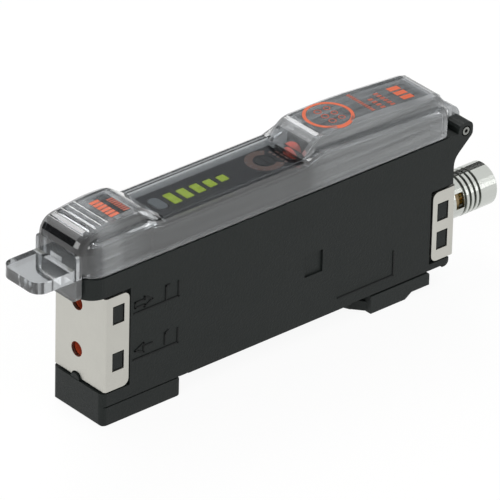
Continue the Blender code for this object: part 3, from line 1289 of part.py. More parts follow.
def make_plug():
    """Ribbed shell, seal, insulator and contacts of the plug."""
    shell = turned_x("plug_shell", plug_profile(), 0, PLUG_Z, 32)
    middle_x = PLUG_START_X + PLUG_WINDOW_ALONG
    middle_z = PLUG_Z + PLUG_WINDOW_ABOVE
    window_x = (middle_x - PLUG_WINDOW_LENGTH / 2, middle_x + PLUG_WINDOW_LENGTH / 2)
    window_z = (middle_z - PLUG_WINDOW_HEIGHT / 2, middle_z + PLUG_WINDOW_HEIGHT / 2)
    cut(shell, box("plug_window", window_x, (-2 * PLUG_RADIUS, 0), window_z))
    cut(shell, centred_box(
        "plug_keyway", (PLUG_END_X - KEYWAY_LENGTH, PLUG_END_X + GAP), KEYWAY_WIDTH,
        (PLUG_Z, PLUG_Z + PLUG_BORE_RADIUS + GAP)))
    finish(shell, NICKEL, smooth=True)
    flange_end = CAVITY_END_X - 2 * GAP - SEAL_LENGTH
    seal = rod("plug_seal", "X", (0, PLUG_Z), PLUG_FLANGE_RADIUS, (flange_end + GAP, CAVITY_END_X - GAP), 24)
    cut(seal, rod(
        "seal_bore", "X", (0, PLUG_Z), PLUG_COLLAR_RADIUS + FIT, (flange_end, CAVITY_END_X), 24))
    finish(seal, SEAL_RUBBER, smooth=True)
    tail = flange_end - PLUG_FLANGE_LENGTH
    socket = PLUG_END_X - SOCKET_DEPTH
    insulator = rod("plug_insulator", "X", (0, PLUG_Z), INSULATOR_RADIUS, (tail, socket), 24)
    contacts = rod(
        "plug_contacts", "X", (0, PLUG_Z), INSULATOR_RADIUS, (tail - GAP - CONTACT_PLATE, tail - GAP), 24)
    for number in range(PIN_COUNT):
        turn = math.radians(45) + 2 * math.pi * number / PIN_COUNT
        place = (CONTACT_CIRCLE * math.cos(turn), PLUG_Z + CONTACT_CIRCLE * math.sin(turn))
        cut(insulator, rod(
            f"contact_hole_{number}", "X", place, CONTACT_RADIUS + FIT, (tail - GAP, socket + GAP), 12))
        join(contacts, rod(
            f"contact_{number}", "X", place, CONTACT_RADIUS,
            (tail - CONTACT_TAIL, PLUG_END_X - CONTACT_RECESS), 12))
    finish(insulator, BROWN_PLASTIC, smooth=True)
    finish(contacts, GOLD, smooth=True)


make_tub()
make_side_cover()
make_clips()
make_cover()
make_hinge_pin()
make_rail_latch()
make_latch_spring()
make_fibre_parts()
make_fibre_lock()
make_display()
make_set_button()
make_dial()
make_electronics()
make_plug()
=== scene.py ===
"""Dresses a fibre optic sensor amplifier: moulded case, smoky lid, metal clips, printed display and plug.

Sizes are written in millimetres in the case frame: X = 0 at the fibre end face, Y = 0 in the middle of the
narrow case, Z = 0 under the rail feet. at() turns them into metres in the model's frame.
"""

from __future__ import annotations

import logging
import math
from dataclasses import dataclass, field
from enum import Enum
from typing import Iterable, Sequence

import bmesh
import bpy
from bmesh.types import BMesh, BMVert
from bpy.types import Material, Node, NodeSocket, NodeTree, Object
from mathutils import Matrix, Vector
from mathutils.bvhtree import BVHTree

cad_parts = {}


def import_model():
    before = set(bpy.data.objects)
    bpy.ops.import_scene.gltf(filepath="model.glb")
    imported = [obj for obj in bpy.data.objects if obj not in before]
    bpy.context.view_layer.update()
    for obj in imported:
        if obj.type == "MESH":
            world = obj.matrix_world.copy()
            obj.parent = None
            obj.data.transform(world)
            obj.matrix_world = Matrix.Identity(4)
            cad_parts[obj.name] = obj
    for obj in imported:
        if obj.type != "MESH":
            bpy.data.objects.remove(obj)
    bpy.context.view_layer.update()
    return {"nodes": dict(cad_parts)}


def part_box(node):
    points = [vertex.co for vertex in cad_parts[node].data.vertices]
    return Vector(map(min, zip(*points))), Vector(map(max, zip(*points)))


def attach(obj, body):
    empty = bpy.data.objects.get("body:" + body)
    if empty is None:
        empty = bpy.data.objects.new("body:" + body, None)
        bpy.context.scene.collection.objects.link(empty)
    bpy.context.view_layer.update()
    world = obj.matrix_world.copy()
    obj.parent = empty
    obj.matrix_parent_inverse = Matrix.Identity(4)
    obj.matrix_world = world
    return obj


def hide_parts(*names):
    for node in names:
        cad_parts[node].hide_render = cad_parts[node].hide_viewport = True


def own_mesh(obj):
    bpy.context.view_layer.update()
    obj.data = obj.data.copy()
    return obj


LOG = logging.getLogger("amplifier")
MM = 0.001
MIDDLE_X = 31.95
NEAR_FACE_Y = -5.4
FASCIA_TOP_Z = 27.4
INK_FILM = 0.03
WHITE = (1.0, 1.0, 1.0, 1.0)

Pair = tuple[float, float]
Triple = tuple[float, float, float]


class Body(Enum):
    """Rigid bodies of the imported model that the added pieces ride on."""

    HOUSING = "housing"
    COVER = "cover"


def frame_x(x: float) -> float:
    """Turns millimetres from the fibre end face into the model's X in metres."""
    return (x - MIDDLE_X) * MM


def at(x: float, y: float, z: float) -> Vector:
    """Turns a point of the case frame into the model's frame.

    Args:
        x: Millimetres from the fibre end face.
        y: Millimetres from the middle plane.
        z: Millimetres above the feet.

    Returns:
        The point in metres.
    """
    return Vector((frame_x(x), y * MM, z * MM))


def linear(hex_colour: str) -> tuple[float, float, float, float]:
    """Turns an sRGB hex colour into linear RGBA.

    Args:
        hex_colour: Six hex digits after a hash sign.

    Returns:
        Linear red, green, blue and an alpha of 1.
    """
    channels = [int(hex_colour[i:i + 2], 16) / 255 for i in (1, 3, 5)]
    red, green, blue = [c / 12.92 if c <= 0.04045 else ((c + 0.055) / 1.055) ** 2.4 for c in channels]
    return red, green, blue, 1.0


# Materials

PRINCIPLED = "Principled BSDF"
# Most values of a noise texture lie between these two
NOISE_LOW = 0.3
NOISE_HIGH = 0.7
# Patches of the mottle: their size, where the darker and the lighter colour are reached, and how far they go
PATCH_MM = 6.0
PATCH_STOPS = (0.35, 0.65)
PATCH_DARKER = 0.5
PATCH_LIGHTER = 0.8


def node_material(name: str) -> Material:
    """Makes a material that has its Principled shader.

    Args:
        name: Material name.

    Returns:
        The new material.
    """
    material = bpy.data.materials.new(name)
    material.use_nodes = True
    return material


def add_node(tree: NodeTree, kind: str, settings: dict | None = None, links: dict | None = None) -> Node:
    """Adds a node with its settings and incoming links.

    Args:
        tree: Node tree to add to.
        kind: Node type, such as ShaderNodeTexNoise.
        settings: Attribute or input socket names with their values.
        links: Input socket names with the output sockets that feed them.

    Returns:
        The new node.
    """
    node = tree.nodes.new(kind)
    for key, value in (settings or {}).items():
        if hasattr(node, key):
            setattr(node, key, value)
        else:
            node.inputs[key].default_value = value
    for key, socket in (links or {}).items():
        tree.links.new(socket, node.inputs[key])
    return node


def distance_from(tree: NodeTree, point: Vector, keep: Triple) -> NodeSocket:
    """Returns the distance of a surface point from a point, or from an axis through it.

    Args:
        tree: Node tree to add to.
        point: The point in metres.
        keep: 1 for each axis that counts and 0 for the one that doesn't.

    Returns:
        Output socket with metres.
    """
    coordinates = add_node(tree, "ShaderNodeTexCoord")
    offset = add_node(
        tree, "ShaderNodeVectorMath", {"operation": "SUBTRACT"}, {0: coordinates.outputs["Object"]})
    offset.inputs[1].default_value = point
    kept = add_node(tree, "ShaderNodeVectorMath", {"operation": "MULTIPLY"}, {0: offset.outputs["Vector"]})
    kept.inputs[1].default_value = keep
    length = add_node(tree, "ShaderNodeVectorMath", {"operation": "LENGTH"}, {0: kept.outputs["Vector"]})
    return length.outputs["Value"]


@dataclass(frozen=True)
class Finish:
    """What every surface finish shares.

    Attributes:
        name: Material name.
        colour: Base colour as sRGB hex.
        roughness: Middle roughness.
        metallic: 1 for bare metal.
        grain_mm: Size of the surface texture in millimetres, 0 for none.
        grain_depth: Bump strength of the texture.
        grain_stretch: Scale of the texture along X, Y and Z.
        mottle: How far roughness and colour vary over the surface.
        coat: Clear coat weight.
        coat_roughness: Roughness of the clear coat.
        ior: Index of refraction.
        gloss: Specular level of a plastic, 0.5 for a bare smooth one.
        glow: Strength of its own light, for lit lenses.
    """

    name: str
    colour: str
    roughness: float
    metallic: float = 0.0
    grain_mm: float = 0.0
    grain_depth: float = 0.0
    grain_stretch: Triple = (1.0, 1.0, 1.0)
    mottle: float = 0.0
    coat: float = 0.0
    coat_roughness: float = 0.1
    ior: float = 1.5
    gloss: float = 0.5
    glow: float = 0.0

    def shader(self, tree: NodeTree) -> Node:
        """Sets the values that are the same all over.

        Args:
            tree: Node tree of the material.

        Returns:
            The Principled shader.
        """
        shader = tree.nodes[PRINCIPLED]
        shader.inputs["Base Color"].default_value = linear(self.colour)
        shader.inputs["Roughness"].default_value = self.roughness
        shader.inputs["Metallic"].default_value = self.metallic
        shader.inputs["Coat Weight"].default_value = self.coat
        shader.inputs["Coat Roughness"].default_value = self.coat_roughness
        if self.metallic == 0.0:
            shader.inputs["IOR"].default_value = self.ior
            shader.inputs["Specular IOR Level"].default_value = self.gloss
        if self.glow:
            shader.inputs["Emission Color"].default_value = linear(self.colour)
            shader.inputs["Emission Strength"].default_value = self.glow
        return shader

    def place(self, tree: NodeTree) -> NodeSocket:
        """Reads the place on the piece, stretched along the grain.

        Args:
            tree: Node tree to add to.

        Returns:
            Output socket with object coordinates in millimetres.
        """
        coordinates = add_node(tree, "ShaderNodeTexCoord")
        scale = tuple(value / MM for value in self.grain_stretch)
        mapping = add_node(
            tree, "ShaderNodeMapping", {"Scale": scale}, {"Vector": coordinates.outputs["Object"]})
        return mapping.outputs["Vector"]

    def build(self) -> Material:
        """Builds the material.

        Returns:
            The material with its nodes.
        """
        material = node_material(self.name)
        tree = material.node_tree
        shader = self.shader(tree)
        if self.grain_mm:
            self.add_grain(tree, shader)
        if self.mottle:
            self.add_mottle(tree, shader)
        return material

    def add_grain(self, tree: NodeTree, shader: Node) -> None:
        """Adds the fine surface texture as bump.

        Args:
            tree: Node tree to add to.
            shader: Shader that takes the bump.
        """
        noise = add_node(
            tree, "ShaderNodeTexNoise", {"Scale": 1.0 / self.grain_mm, "Detail": 2.0, "Roughness": 0.6},
            {"Vector": self.place(tree)})
        bump = add_node(
            tree, "ShaderNodeBump", {"Strength": self.grain_depth, "Distance": self.grain_mm * MM},
            {"Height": noise.outputs["Fac"]})
        tree.links.new(bump.outputs["Normal"], shader.inputs["Normal"])

    def add_mottle(self, tree: NodeTree, shader: Node) -> None:
        """Varies roughness and colour over patches of a few millimetres.

        Args:
            tree: Node tree to add to.
            shader: Shader that takes the roughness and the colour.
        """
        coordinates = add_node(tree, "ShaderNodeTexCoord")
        patches = add_node(
            tree, "ShaderNodeTexNoise", {"Scale": 1.0 / (PATCH_MM * MM), "Detail": 4.0, "Roughness": 0.65},
            {"Vector": coordinates.outputs["Object"]})
        spread = add_node(
            tree, "ShaderNodeMapRange",
            {"From Min": NOISE_LOW, "From Max": NOISE_HIGH, "To Min": self.roughness - self.mottle,
             "To Max": self.roughness + self.mottle},
            {"Value": patches.outputs["Fac"]})
        tree.links.new(spread.outputs["Result"], shader.inputs["Roughness"])
        colour = linear(self.colour)[:3]
        darker = tuple(channel * (1.0 - PATCH_DARKER * self.mottle) for channel in colour)
        lighter = tuple(min(1.0, channel * (1.0 + PATCH_LIGHTER * self.mottle)) for channel in colour)
        ramp = add_node(tree, "ShaderNodeValToRGB", links={"Fac": patches.outputs["Fac"]})
        for stop, position, shade in zip(ramp.color_ramp.elements, PATCH_STOPS, (darker, lighter)):
            stop.position = position
            stop.color = shade + (1.0,)
        tree.links.new(ramp.outputs["Color"], shader.inputs["Base Color"])


@dataclass(frozen=True, kw_only=True)
class SmokedPolycarbonate(Finish):
    """Smoky polycarbonate: a clear window between hazy domes, and hazy side walls with flow streaks.

    Attributes:
        dark_reflection_colour: Painted dark reflection on the round front of the dome, as sRGB hex.
        dark_reflection_x: X between which the painted dark reflection fades out.
        dark_reflection_z: Heights between which it fades in.
        top_haze: Share of scattered light along the top, as pairs of X in millimetres and the share.
        side_haze: Share of scattered light in the side walls.
        side_y: Distances from the middle plane between which the top turns into the side wall.
        streaks: How far the streaks raise and lower the haze.
        skin_ior: Index of the polished skin, which makes the reflections.
    """

    dark_reflection_colour: str
    dark_reflection_x: Pair
    dark_reflection_z: Pair
    top_haze: tuple[Pair, ...]
    side_haze: float
    side_y: Pair
    streaks: float
    skin_ior: float

    def top_share(self, tree: NodeTree, along: NodeSocket) -> NodeSocket:
        """Runs the haze of the top along the lid.

        Args:
            tree: Node tree to add to.
            along: Socket with the place along the lid in metres.

        Returns:
            Output socket with the share of scattered light.
        """
        first, last = [frame_x(pair[0]) for pair in (self.top_haze[0], self.top_haze[-1])]
        place = add_node(tree, "ShaderNodeMapRange", {"From Min": first, "From Max": last}, {"Value": along})
        ramp = add_node(tree, "ShaderNodeValToRGB", links={"Fac": place.outputs["Result"]})
        stops = ramp.color_ramp.elements
        while len(stops) < len(self.top_haze):
            stops.new(0.5)
        for stop, (x, share) in zip(stops, self.top_haze):
            stop.position = (frame_x(x) - first) / (last - first)
            stop.color = (share, share, share, 1.0)
        return ramp.outputs["Color"]

    def side_share(self, tree: NodeTree, across: NodeSocket) -> NodeSocket:
        """Raises the haze where the top turns into the side walls.

        Args:
            tree: Node tree to add to.
            across: Socket with the place across the lid in metres.

        Returns:
            Output socket with the share of scattered light, 0 on the top.
        """
        distance = add_node(tree, "ShaderNodeMath", {"operation": "ABSOLUTE"}, {0: across})
        share = add_node(
            tree, "ShaderNodeMapRange",
            {"From Min": self.side_y[0] * MM, "From Max": self.side_y[1] * MM, "To Max": self.side_haze},
            {"Value": distance.outputs[0]})
        return share.outputs["Result"]

    def clear_share(self, tree: NodeTree, axes: Node) -> NodeSocket:
        """Takes the haze of a place, raised and lowered by the streaks, from the whole.

        Args:
            tree: Node tree to add to.
            axes: Node with the place on the lid, split into its axes.

        Returns:
            Output socket with the share of light that passes straight through.
        """
        haze = add_node(
            tree, "ShaderNodeMath", {"operation": "MAXIMUM"},
            {0: self.top_share(tree, axes.outputs["X"]), 1: self.side_share(tree, axes.outputs["Y"])})
        flow = add_node(
            tree, "ShaderNodeTexNoise", {"Scale": 1.0, "Detail": 3.0, "Roughness": 0.6},
            {"Vector": self.place(tree)})
        wave = add_node(
            tree, "ShaderNodeMapRange",
            {"From Min": NOISE_LOW, "From Max": NOISE_HIGH, "To Min": 1.0 - self.streaks,
             "To Max": 1.0 + self.streaks},
            {"Value": flow.outputs["Fac"]})
        veil = add_node(
            tree, "ShaderNodeMath", {"operation": "MULTIPLY"},
            {0: haze.outputs[0], 1: wave.outputs["Result"]})
        clear = add_node(tree, "ShaderNodeMath", {"operation": "SUBTRACT"}, {1: veil.outputs[0]})
        clear.inputs[0].default_value = 1.0
        return clear.outputs[0]

    def dark_reflection_share(self, tree: NodeTree, axes: Node) -> NodeSocket:
        """Marks the round front of the dome, where a dark reflection is painted.

        Args:
            tree: Node tree to add to.
            axes: Node with the place on the lid, split into its axes.

        Returns:
            Output socket with 1 where the painted dark reflection colour is used.
        """
        low, high = [frame_x(x) for x in self.dark_reflection_x]
        ahead = add_node(
            tree, "ShaderNodeMapRange", {"From Min": low, "From Max": high, "To Min": 1.0, "To Max": 0.0},
            {"Value": axes.outputs["X"]})
        above = add_node(
            tree, "ShaderNodeMapRange", {"From Min": self.dark_reflection_z[0] * MM, "From Max": self.dark_reflection_z[1] * MM},
            {"Value": axes.outputs["Z"]})
        both = add_node(
            tree, "ShaderNodeMath", {"operation": "MULTIPLY"},
            {0: ahead.outputs["Result"], 1: above.outputs["Result"]})
        return both.outputs[0]

    def build(self) -> Material:
        """Builds the transmitting material.

        Returns:
            The material with its nodes.
        """
        material = node_material(self.name)
        tree = material.node_tree
        shader = self.shader(tree)
        shader.inputs["Coat IOR"].default_value = self.skin_ior
        coordinates = add_node(tree, "ShaderNodeTexCoord")
        axes = add_node(tree, "ShaderNodeSeparateXYZ", links={"Vector": coordinates.outputs["Object"]})
        tree.links.new(self.clear_share(tree, axes), shader.inputs["Transmission Weight"])
        # Base colour: the smoke, turning to a painted dark reflection on the dome's round front
        smoke_and_dark_reflection = add_node(tree, "ShaderNodeValToRGB", links={"Fac": self.dark_reflection_share(tree, axes)})
        smoke_and_dark_reflection.color_ramp.elements[0].color = linear(self.colour)
        smoke_and_dark_reflection.color_ramp.elements[1].color = linear(self.dark_reflection_colour)
        tree.links.new(smoke_and_dark_reflection.outputs["Color"], shader.inputs["Base Color"])
        return material


@dataclass(frozen=True, kw_only=True)
class GroovedNickel(Finish):
    """Bright nickel on a turned part, with painted shade that darkens the bottom of its grooves.

    Attributes:
        axis_z: Height of the part's axis above the feet in millimetres.
        valley: Radius at the bottom of the grooves.
        crest: Radius at which the painted shade is gone.
        groove_shade_colour: Painted shade at the bottom of the grooves, as sRGB hex.
    """

    axis_z: float
    valley: float
    crest: float
    groove_shade_colour: str

    def build(self) -> Material:
        """Builds the metal, with painted shade that darkens it from the crest down to the valley.

        Returns:
            The material with its nodes.
        """
        material = super().build()
        tree = material.node_tree
        radius = distance_from(tree, at(MIDDLE_X, 0.0, self.axis_z), (0.0, 1.0, 1.0))
        # Painted shade: the colour darkens towards the bottom of the grooves
        unshaded_share = add_node(
            tree, "ShaderNodeMapRange", {"From Min": self.valley * MM, "From Max": self.crest * MM},
            {"Value": radius})
        ramp = add_node(tree, "ShaderNodeValToRGB", links={"Fac": unshaded_share.outputs["Result"]})
        ramp.color_ramp.elements[0].color = linear(self.groove_shade_colour)
        ramp.color_ramp.elements[1].color = linear(self.colour)
        tree.links.new(ramp.outputs["Color"], tree.nodes[PRINCIPLED].inputs["Base Color"])
        return material


@dataclass(frozen=True, kw_only=True)
class LitLens(Finish):
    """Frosted lens that is lit from its middle and fades towards its rim.

    Attributes:
        middle: Middle of the lens along, across and above in millimetres of the case frame.
        reach: Radius in millimetres at which the light is gone.
        rim_colour: Colour of the unlit rim as sRGB hex.
    """

    middle: Triple
    reach: float
    rim_colour: str

    def build(self) -> Material:
        """Builds the lens with its colour and light running out from the middle.

        Returns:
            The material with its nodes.
        """
        material = node_material(self.name)
        tree = material.node_tree
        shader = self.shader(tree)
        share = add_node(
            tree, "ShaderNodeMapRange", {"interpolation_type": "SMOOTHSTEP", "From Max": self.reach * MM},
            {"Value": distance_from(tree, at(*self.middle), (1.0, 1.0, 0.0))})
        tint = add_node(tree, "ShaderNodeValToRGB", links={"Fac": share.outputs["Result"]})
        tint.color_ramp.elements[0].color = linear(self.colour)
        tint.color_ramp.elements[1].color = linear(self.rim_colour)
        light = add_node(
            tree, "ShaderNodeMapRange", {"To Min": self.glow, "To Max": 0.0},
            {"Value": share.outputs["Result"]})
        tree.links.new(tint.outputs["Color"], shader.inputs["Base Color"])
        tree.links.new(light.outputs["Result"], shader.inputs["Emission Strength"])
        return material


# Glass-filled ABS from a spark-eroded mould: dead black with a fine satin pebble that greys it in soft light
CASE_ABS = Finish(
    "case_abs_spark_eroded", "#191D1C", 0.45, grain_mm=0.22, grain_depth=0.3, mottle=0.05, gloss=0.18)
# The same resin in the latch, a little greyer from its own mould
LATCH_ABS = Finish(
    "latch_abs_spark_eroded", "#1E2221", 0.45, grain_mm=0.22, grain_depth=0.3, mottle=0.05, gloss=0.18)
# Stainless spring sheet, rolled and tumbled: pale satin metal with faint upright rolling lines
CLIP_STAINLESS = Finish(
    "clip_stainless_satin", "#BFBEB7", 0.34, metallic=1.0, grain_mm=0.25, grain_depth=0.12,
    grain_stretch=(1.0, 1.0, 0.06), mottle=0.05)
# Nickel plate over machined brass: bright, with a faint unevenness and painted shade in the grooves
PLUG_NICKEL = GroovedNickel(
    "plug_nickel_plate", "#C3C6C1", 0.2, metallic=1.0, grain_mm=0.2, grain_depth=0.06,
    axis_z=10.0, valley=3.02, crest=3.26, groove_shade_colour="#7C7F7B")
# Drawn steel pin with a turned end: a duller grey than the plug
PIN_STEEL = Finish(
    "pin_steel_drawn", "#8B8D89", 0.3, metallic=1.0, grain_mm=0.15, grain_depth=0.08, mottle=0.04)
# Smoky polycarbonate lid, moulded and polished: the skin shines, the body veils the black case behind it.
# The body's index is kept low, so that the inner edges stay as quiet as in a hazed moulding
# The round front of the front dome takes a painted dark reflection colour
LID_SMOKE = SmokedPolycarbonate(
    "lid_polycarbonate_smoke", "#B5B8BA", 0.07, coat=0.6, coat_roughness=0.07, ior=1.4, gloss=0.25,
    grain_stretch=(0.05, 1.8, 1.8), dark_reflection_colour="#545658", dark_reflection_x=(-2.1, -1.2), dark_reflection_z=(27.4, 28.2),
    top_haze=(
        (-9.0, 0.03), (-1.5, 0.04), (-0.9, 0.02), (0.0, 0.25), (2.2, 0.25), (3.6, 0.13), (6.4, 0.08),
        (8.6, 0.0), (36.6, 0.0), (37.2, 0.12), (40.5, 0.22), (43.0, 0.24), (66.0, 0.22)),
    side_haze=0.068, side_y=(4.3, 5.0), streaks=0.55, skin_ior=1.58)
# Black acetal, moulded smooth: dark with a soft sheen
INNER_ACETAL = Finish(
    "inner_acetal_black", "#1A1B1D", 0.4, grain_mm=0.3, grain_depth=0.1, mottle=0.04, gloss=0.3)
# Moulded red polycarbonate of the fibre clamp and the bushes: a muted red, deep in the fibre holes
CLAMP_RED = Finish(
    "clamp_polycarbonate_red", "#B4492F", 0.35, grain_mm=0.3, grain_depth=0.05, mottle=0.04)
# Printed polyester film on the display plate: blue-black and faintly glossy
FASCIA_FILM = Finish(
    "fascia_printed_film", "#1F2028", 0.35, grain_mm=0.12, grain_depth=0.04, mottle=0.05, gloss=0.3)
# Tinted acrylic light guide, moulded and polished: yellow green, lit from below
BAR_ACRYLIC = Finish(
    "bar_acrylic_green", "#C4E02E", 0.28, grain_mm=0.15, grain_depth=0.04, mottle=0.04, glow=0.62)
# Moulded silicone key: soft matt grey
KEY_ELASTOMER = Finish(
    "key_elastomer_grey", "#BBC1C6", 0.55, grain_mm=0.15, grain_depth=0.2, mottle=0.05)
# Glass epoxy board under a solder mask: flat mid green
BOARD_MASK = Finish("board_solder_mask", "#1F6B3C", 0.4, grain_mm=0.3, grain_depth=0.05, mottle=0.05)
# Glass-filled polyester, moulded: the dull brown insulator of the plug
INSULATOR_PBT = Finish(
    "insulator_pbt_brown", "#8E7B58", 0.5, grain_mm=0.2, grain_depth=0.15, mottle=0.06)
# Gold plate on the stamped contacts: warm and bright
CONTACT_GOLD = Finish(
    "contact_gold_plate", "#E2C069", 0.25, metallic=1.0, grain_mm=0.2, grain_depth=0.04, mottle=0.03)
# Moulded nitrile rubber: a seal of matt black
SEAL_NITRILE = Finish("seal_nitrile_black", "#1A1A1A", 0.7, grain_mm=0.2, grain_depth=0.2, mottle=0.05)
# Tinted epoxy of the lamp's diode: saturated red with a weak light of its own
LAMP_LENS = Finish("lamp_lens_red", "#D8361C", 0.2, grain_mm=0.2, grain_depth=0.03, mottle=0.03, glow=0.3)
# Frosted red acrylic cap over the lamp, brightest over its diode
LAMP_CAP = LitLens(
    "lamp_cap_frosted", "#E0604E", 0.5, gloss=0.2, glow=1.4, middle=(38.5, 0.4, 26.6), reach=1.9,
    rim_colour="#5A2A24")
# Cast epoxy of the diodes: pale and glossy
DIODE_RESIN = Finish("diode_resin_clear", "#A8A39A", 0.15, grain_mm=0.2, grain_depth=0.03, mottle=0.03)
# Orange screen print on top of the lid
PRINT_ORANGE = Finish("print_orange_ink", "#C85A34", 0.5, grain_mm=0.1, grain_depth=0.1, mottle=0.05)
# The same ink, printed thinner, so that the grey lid dulls it
PRINT_RUST = Finish("print_rust_ink", "#A04C37", 0.5, grain_mm=0.1, grain_depth=0.1, mottle=0.1)
# White screen print of the dial's ticks
PRINT_WHITE = Finish("print_white_ink", "#C9CBC8", 0.5, grain_mm=0.1, grain_depth=0.1, mottle=0.05)
# Dull red-brown screen print of the dial's band and the dashes beside it
PRINT_UMBER = Finish("print_umber_ink", "#B0887A", 0.55, grain_mm=0.1, grain_depth=0.1, mottle=0.08)
# Moulded marks, glossier than the pebbled wall, with painted shade that darkens them for the shade on their
# steep flanks
SHADED_MARK_ABS = Finish(
    "mark_abs_painted_shade", "#0D0F0F", 0.3, grain_mm=0.3, grain_depth=0.05, mottle=0.04, gloss=0.18)

NODE_FINISHES: dict[Finish, tuple[str, ...]] = {
    CASE_ABS: ("housing_tub", "side_cover"),
    LATCH_ABS: ("rail_latch",),
    CLIP_STAINLESS: ("fibre_end_clip", "plug_end_clip", "latch_spring"),
    PLUG_NICKEL: ("plug_shell",),
    PIN_STEEL: ("hinge_pin",),
    LID_SMOKE: ("cover",),
    INNER_ACETAL: ("fibre_guide", "lock_button", "set_switch", "trimmer", "sensitivity_dial"),
    CLAMP_RED: ("fibre_clamp", "emitter_fibre_bush", "receiver_fibre_bush"),
    FASCIA_FILM: ("fascia",),
    BAR_ACRYLIC: ("light_guide", "indicator_leds"),
    KEY_ELASTOMER: ("set_button",),
    BOARD_MASK: ("circuit_board",),
    INSULATOR_PBT: ("plug_insulator",),
    CONTACT_GOLD: ("plug_contacts",),
    SEAL_NITRILE: ("plug_seal",),
    LAMP_LENS: ("switching_lamp",),
    DIODE_RESIN: ("emitter_diode", "receiver_diode"),
}


@dataclass
class Palette:
    """Builds each finish once and hands it out.

    Attributes:
        made: Materials by the name of their finish.
    """

    made: dict[str, Material] = field(default_factory=dict)

    def get(self, finish: Finish) -> Material:
        """Hands out the material of a finish.

        Args:
            finish: What the surface is.

        Returns:
            Its material, built on the first call.
        """
        if finish.name not in self.made:
            self.made[finish.name] = finish.build()
        return self.made[finish.name]

    def dress_nodes(self, nodes: dict[str, Object]) -> None:
        """Gives every CAD node its finish.

        Args:
            nodes: CAD node objects by name.
        """
        for finish, names in NODE_FINISHES.items():
            for name in names:
                mesh = nodes[name].data
                mesh.materials.clear()
                mesh.materials.append(self.get(finish))
                LOG.info("dressed %s with %s", name, finish.name)


# Shapes

ARC_STEPS = 72
# A closed ring stops just short of a full turn, so that its outline doesn't touch itself
CLOSED_TURN = 359.9
SMOOTH_BELOW = 30.0


def flat_plate(outline: Sequence[Pair], thickness: float) -> BMesh:
    """Makes a thin plate from an outline in millimetres, drawn in X and Y with its foot at Z = 0.

    Args:
        outline: Corners in order.
        thickness: Height in millimetres.

    Returns:
        The plate as a bmesh in metres.
    """
    shape = bmesh.new()
    corners = [shape.verts.new((x * MM, y * MM, 0.0)) for x, y in outline]
    face = shape.faces.new(corners)
    raised = bmesh.ops.extrude_face_region(shape, geom=[face])
    verts = [item for item in raised["geom"] if isinstance(item, BMVert)]
    bmesh.ops.translate(shape, verts=verts, vec=(0.0, 0.0, thickness * MM))
    bmesh.ops.recalc_face_normals(shape, faces=shape.faces)
    return shape


def moved(shape: BMesh, step: Vector) -> BMesh:
    """Moves a shape by a step in metres and returns it."""
    bmesh.ops.translate(shape, verts=shape.verts, vec=step)
    return shape


def merged(shapes: Iterable[BMesh]) -> BMesh:
    """Joins several shapes into one and frees them.

    Args:
        shapes: Shapes in the same frame.

    Returns:
        The whole.
    """
    whole = bmesh.new()
    for shape in shapes:
        mesh = bpy.data.meshes.new("part_of_whole")
        shape.to_mesh(mesh)
        shape.free()
        whole.from_mesh(mesh)
        bpy.data.meshes.remove(mesh)
    return whole


def stroke(start: Pair, end: Pair, width: float) -> list[Pair]:
    """Draws a straight stroke with square ends.

    Args:
        start: First end of its centre line.
        end: Other end of its centre line.
        width: Stroke width.

    Returns:
        Four corners.
    """
    along = Vector((end[0] - start[0], end[1] - start[1])).normalized()
    across = Vector((-along.y, along.x)) * width / 2
    begin = Vector(start) - along * width / 2
    finish = Vector(end) + along * width / 2
    corners = (begin - across, finish - across, finish + across, begin + across)
    return [tuple(corner) for corner in corners]


def arc_band(radius: float, width: float, begin: float, end: float) -> list[Pair]:
    """Draws a part of a ring round the origin.

    Args:
        radius: Middle radius.
        width: Band width.
        begin: First angle in degrees.
        end: Last angle in degrees, less than a full turn from the first.

    Returns:
        Corners of the band.
    """
    angles = [math.radians(begin + (end - begin) * step / ARC_STEPS) for step in range(ARC_STEPS + 1)]
    outer = radius + width / 2
    inner = radius - width / 2
    outer_side = [(outer * math.cos(angle), outer * math.sin(angle)) for angle in angles]
    inner_side = [(inner * math.cos(angle), inner * math.sin(angle)) for angle in reversed(angles)]
    return outer_side + inner_side


@dataclass(frozen=True)
class BarRow:
    """Row of equal plain bars across the case.

    Attributes:
        x: Limits of the row along the case.
        y: Limits of the row across the case.
        count: Number of bars.
        fill: Share of each pitch that the bar takes.
    """

    x: Pair
    y: Pair
    count: int
    fill: float

    def outlines(self) -> list[list[Pair]]:
        """Draws the bars.

        Returns:
            Four corners of each bar.
        """
        left, right = self.x
        pitch = (self.y[1] - self.y[0]) / self.count
        bars = []
        for number in range(self.count):
            near = self.y[0] + pitch * number
            far = near + self.fill * pitch
            bars.append([(left, near), (right, near), (right, far), (left, far)])
        return bars


def mesh_object(name: str, shape: BMesh, material: Material) -> Object:
    """Turns a finished bmesh into an object of the scene.

    Args:
        name: Name of the object and its mesh.
        shape: Its shape, freed here.
        material: Its material.

    Returns:
        The new object.
    """
    mesh = bpy.data.meshes.new(name)
    shape.to_mesh(mesh)
    shape.free()
    mesh.materials.append(material)
    made = bpy.data.objects.new(name, mesh)
    bpy.context.scene.collection.objects.link(made)
    return made


def piece(name: str, shape: BMesh, material: Material, body: Body) -> Object:
    """Turns a finished bmesh into a piece that rides on a body.

    Args:
        name: Piece name.
        shape: Shape in the model's frame, freed here.
        material: Its finish.
        body: Body that carries it.

    Returns:
        The new object.
    """
    made = mesh_object(name, shape, material)
    made.data.shade_smooth()
    made.data.set_sharp_from_angle(angle=math.radians(SMOOTH_BELOW))
    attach(made, body.value)
    LOG.info("built %s on %s with %d faces", name, body.value, len(made.data.polygons))
    return made


# Camera, floor and light


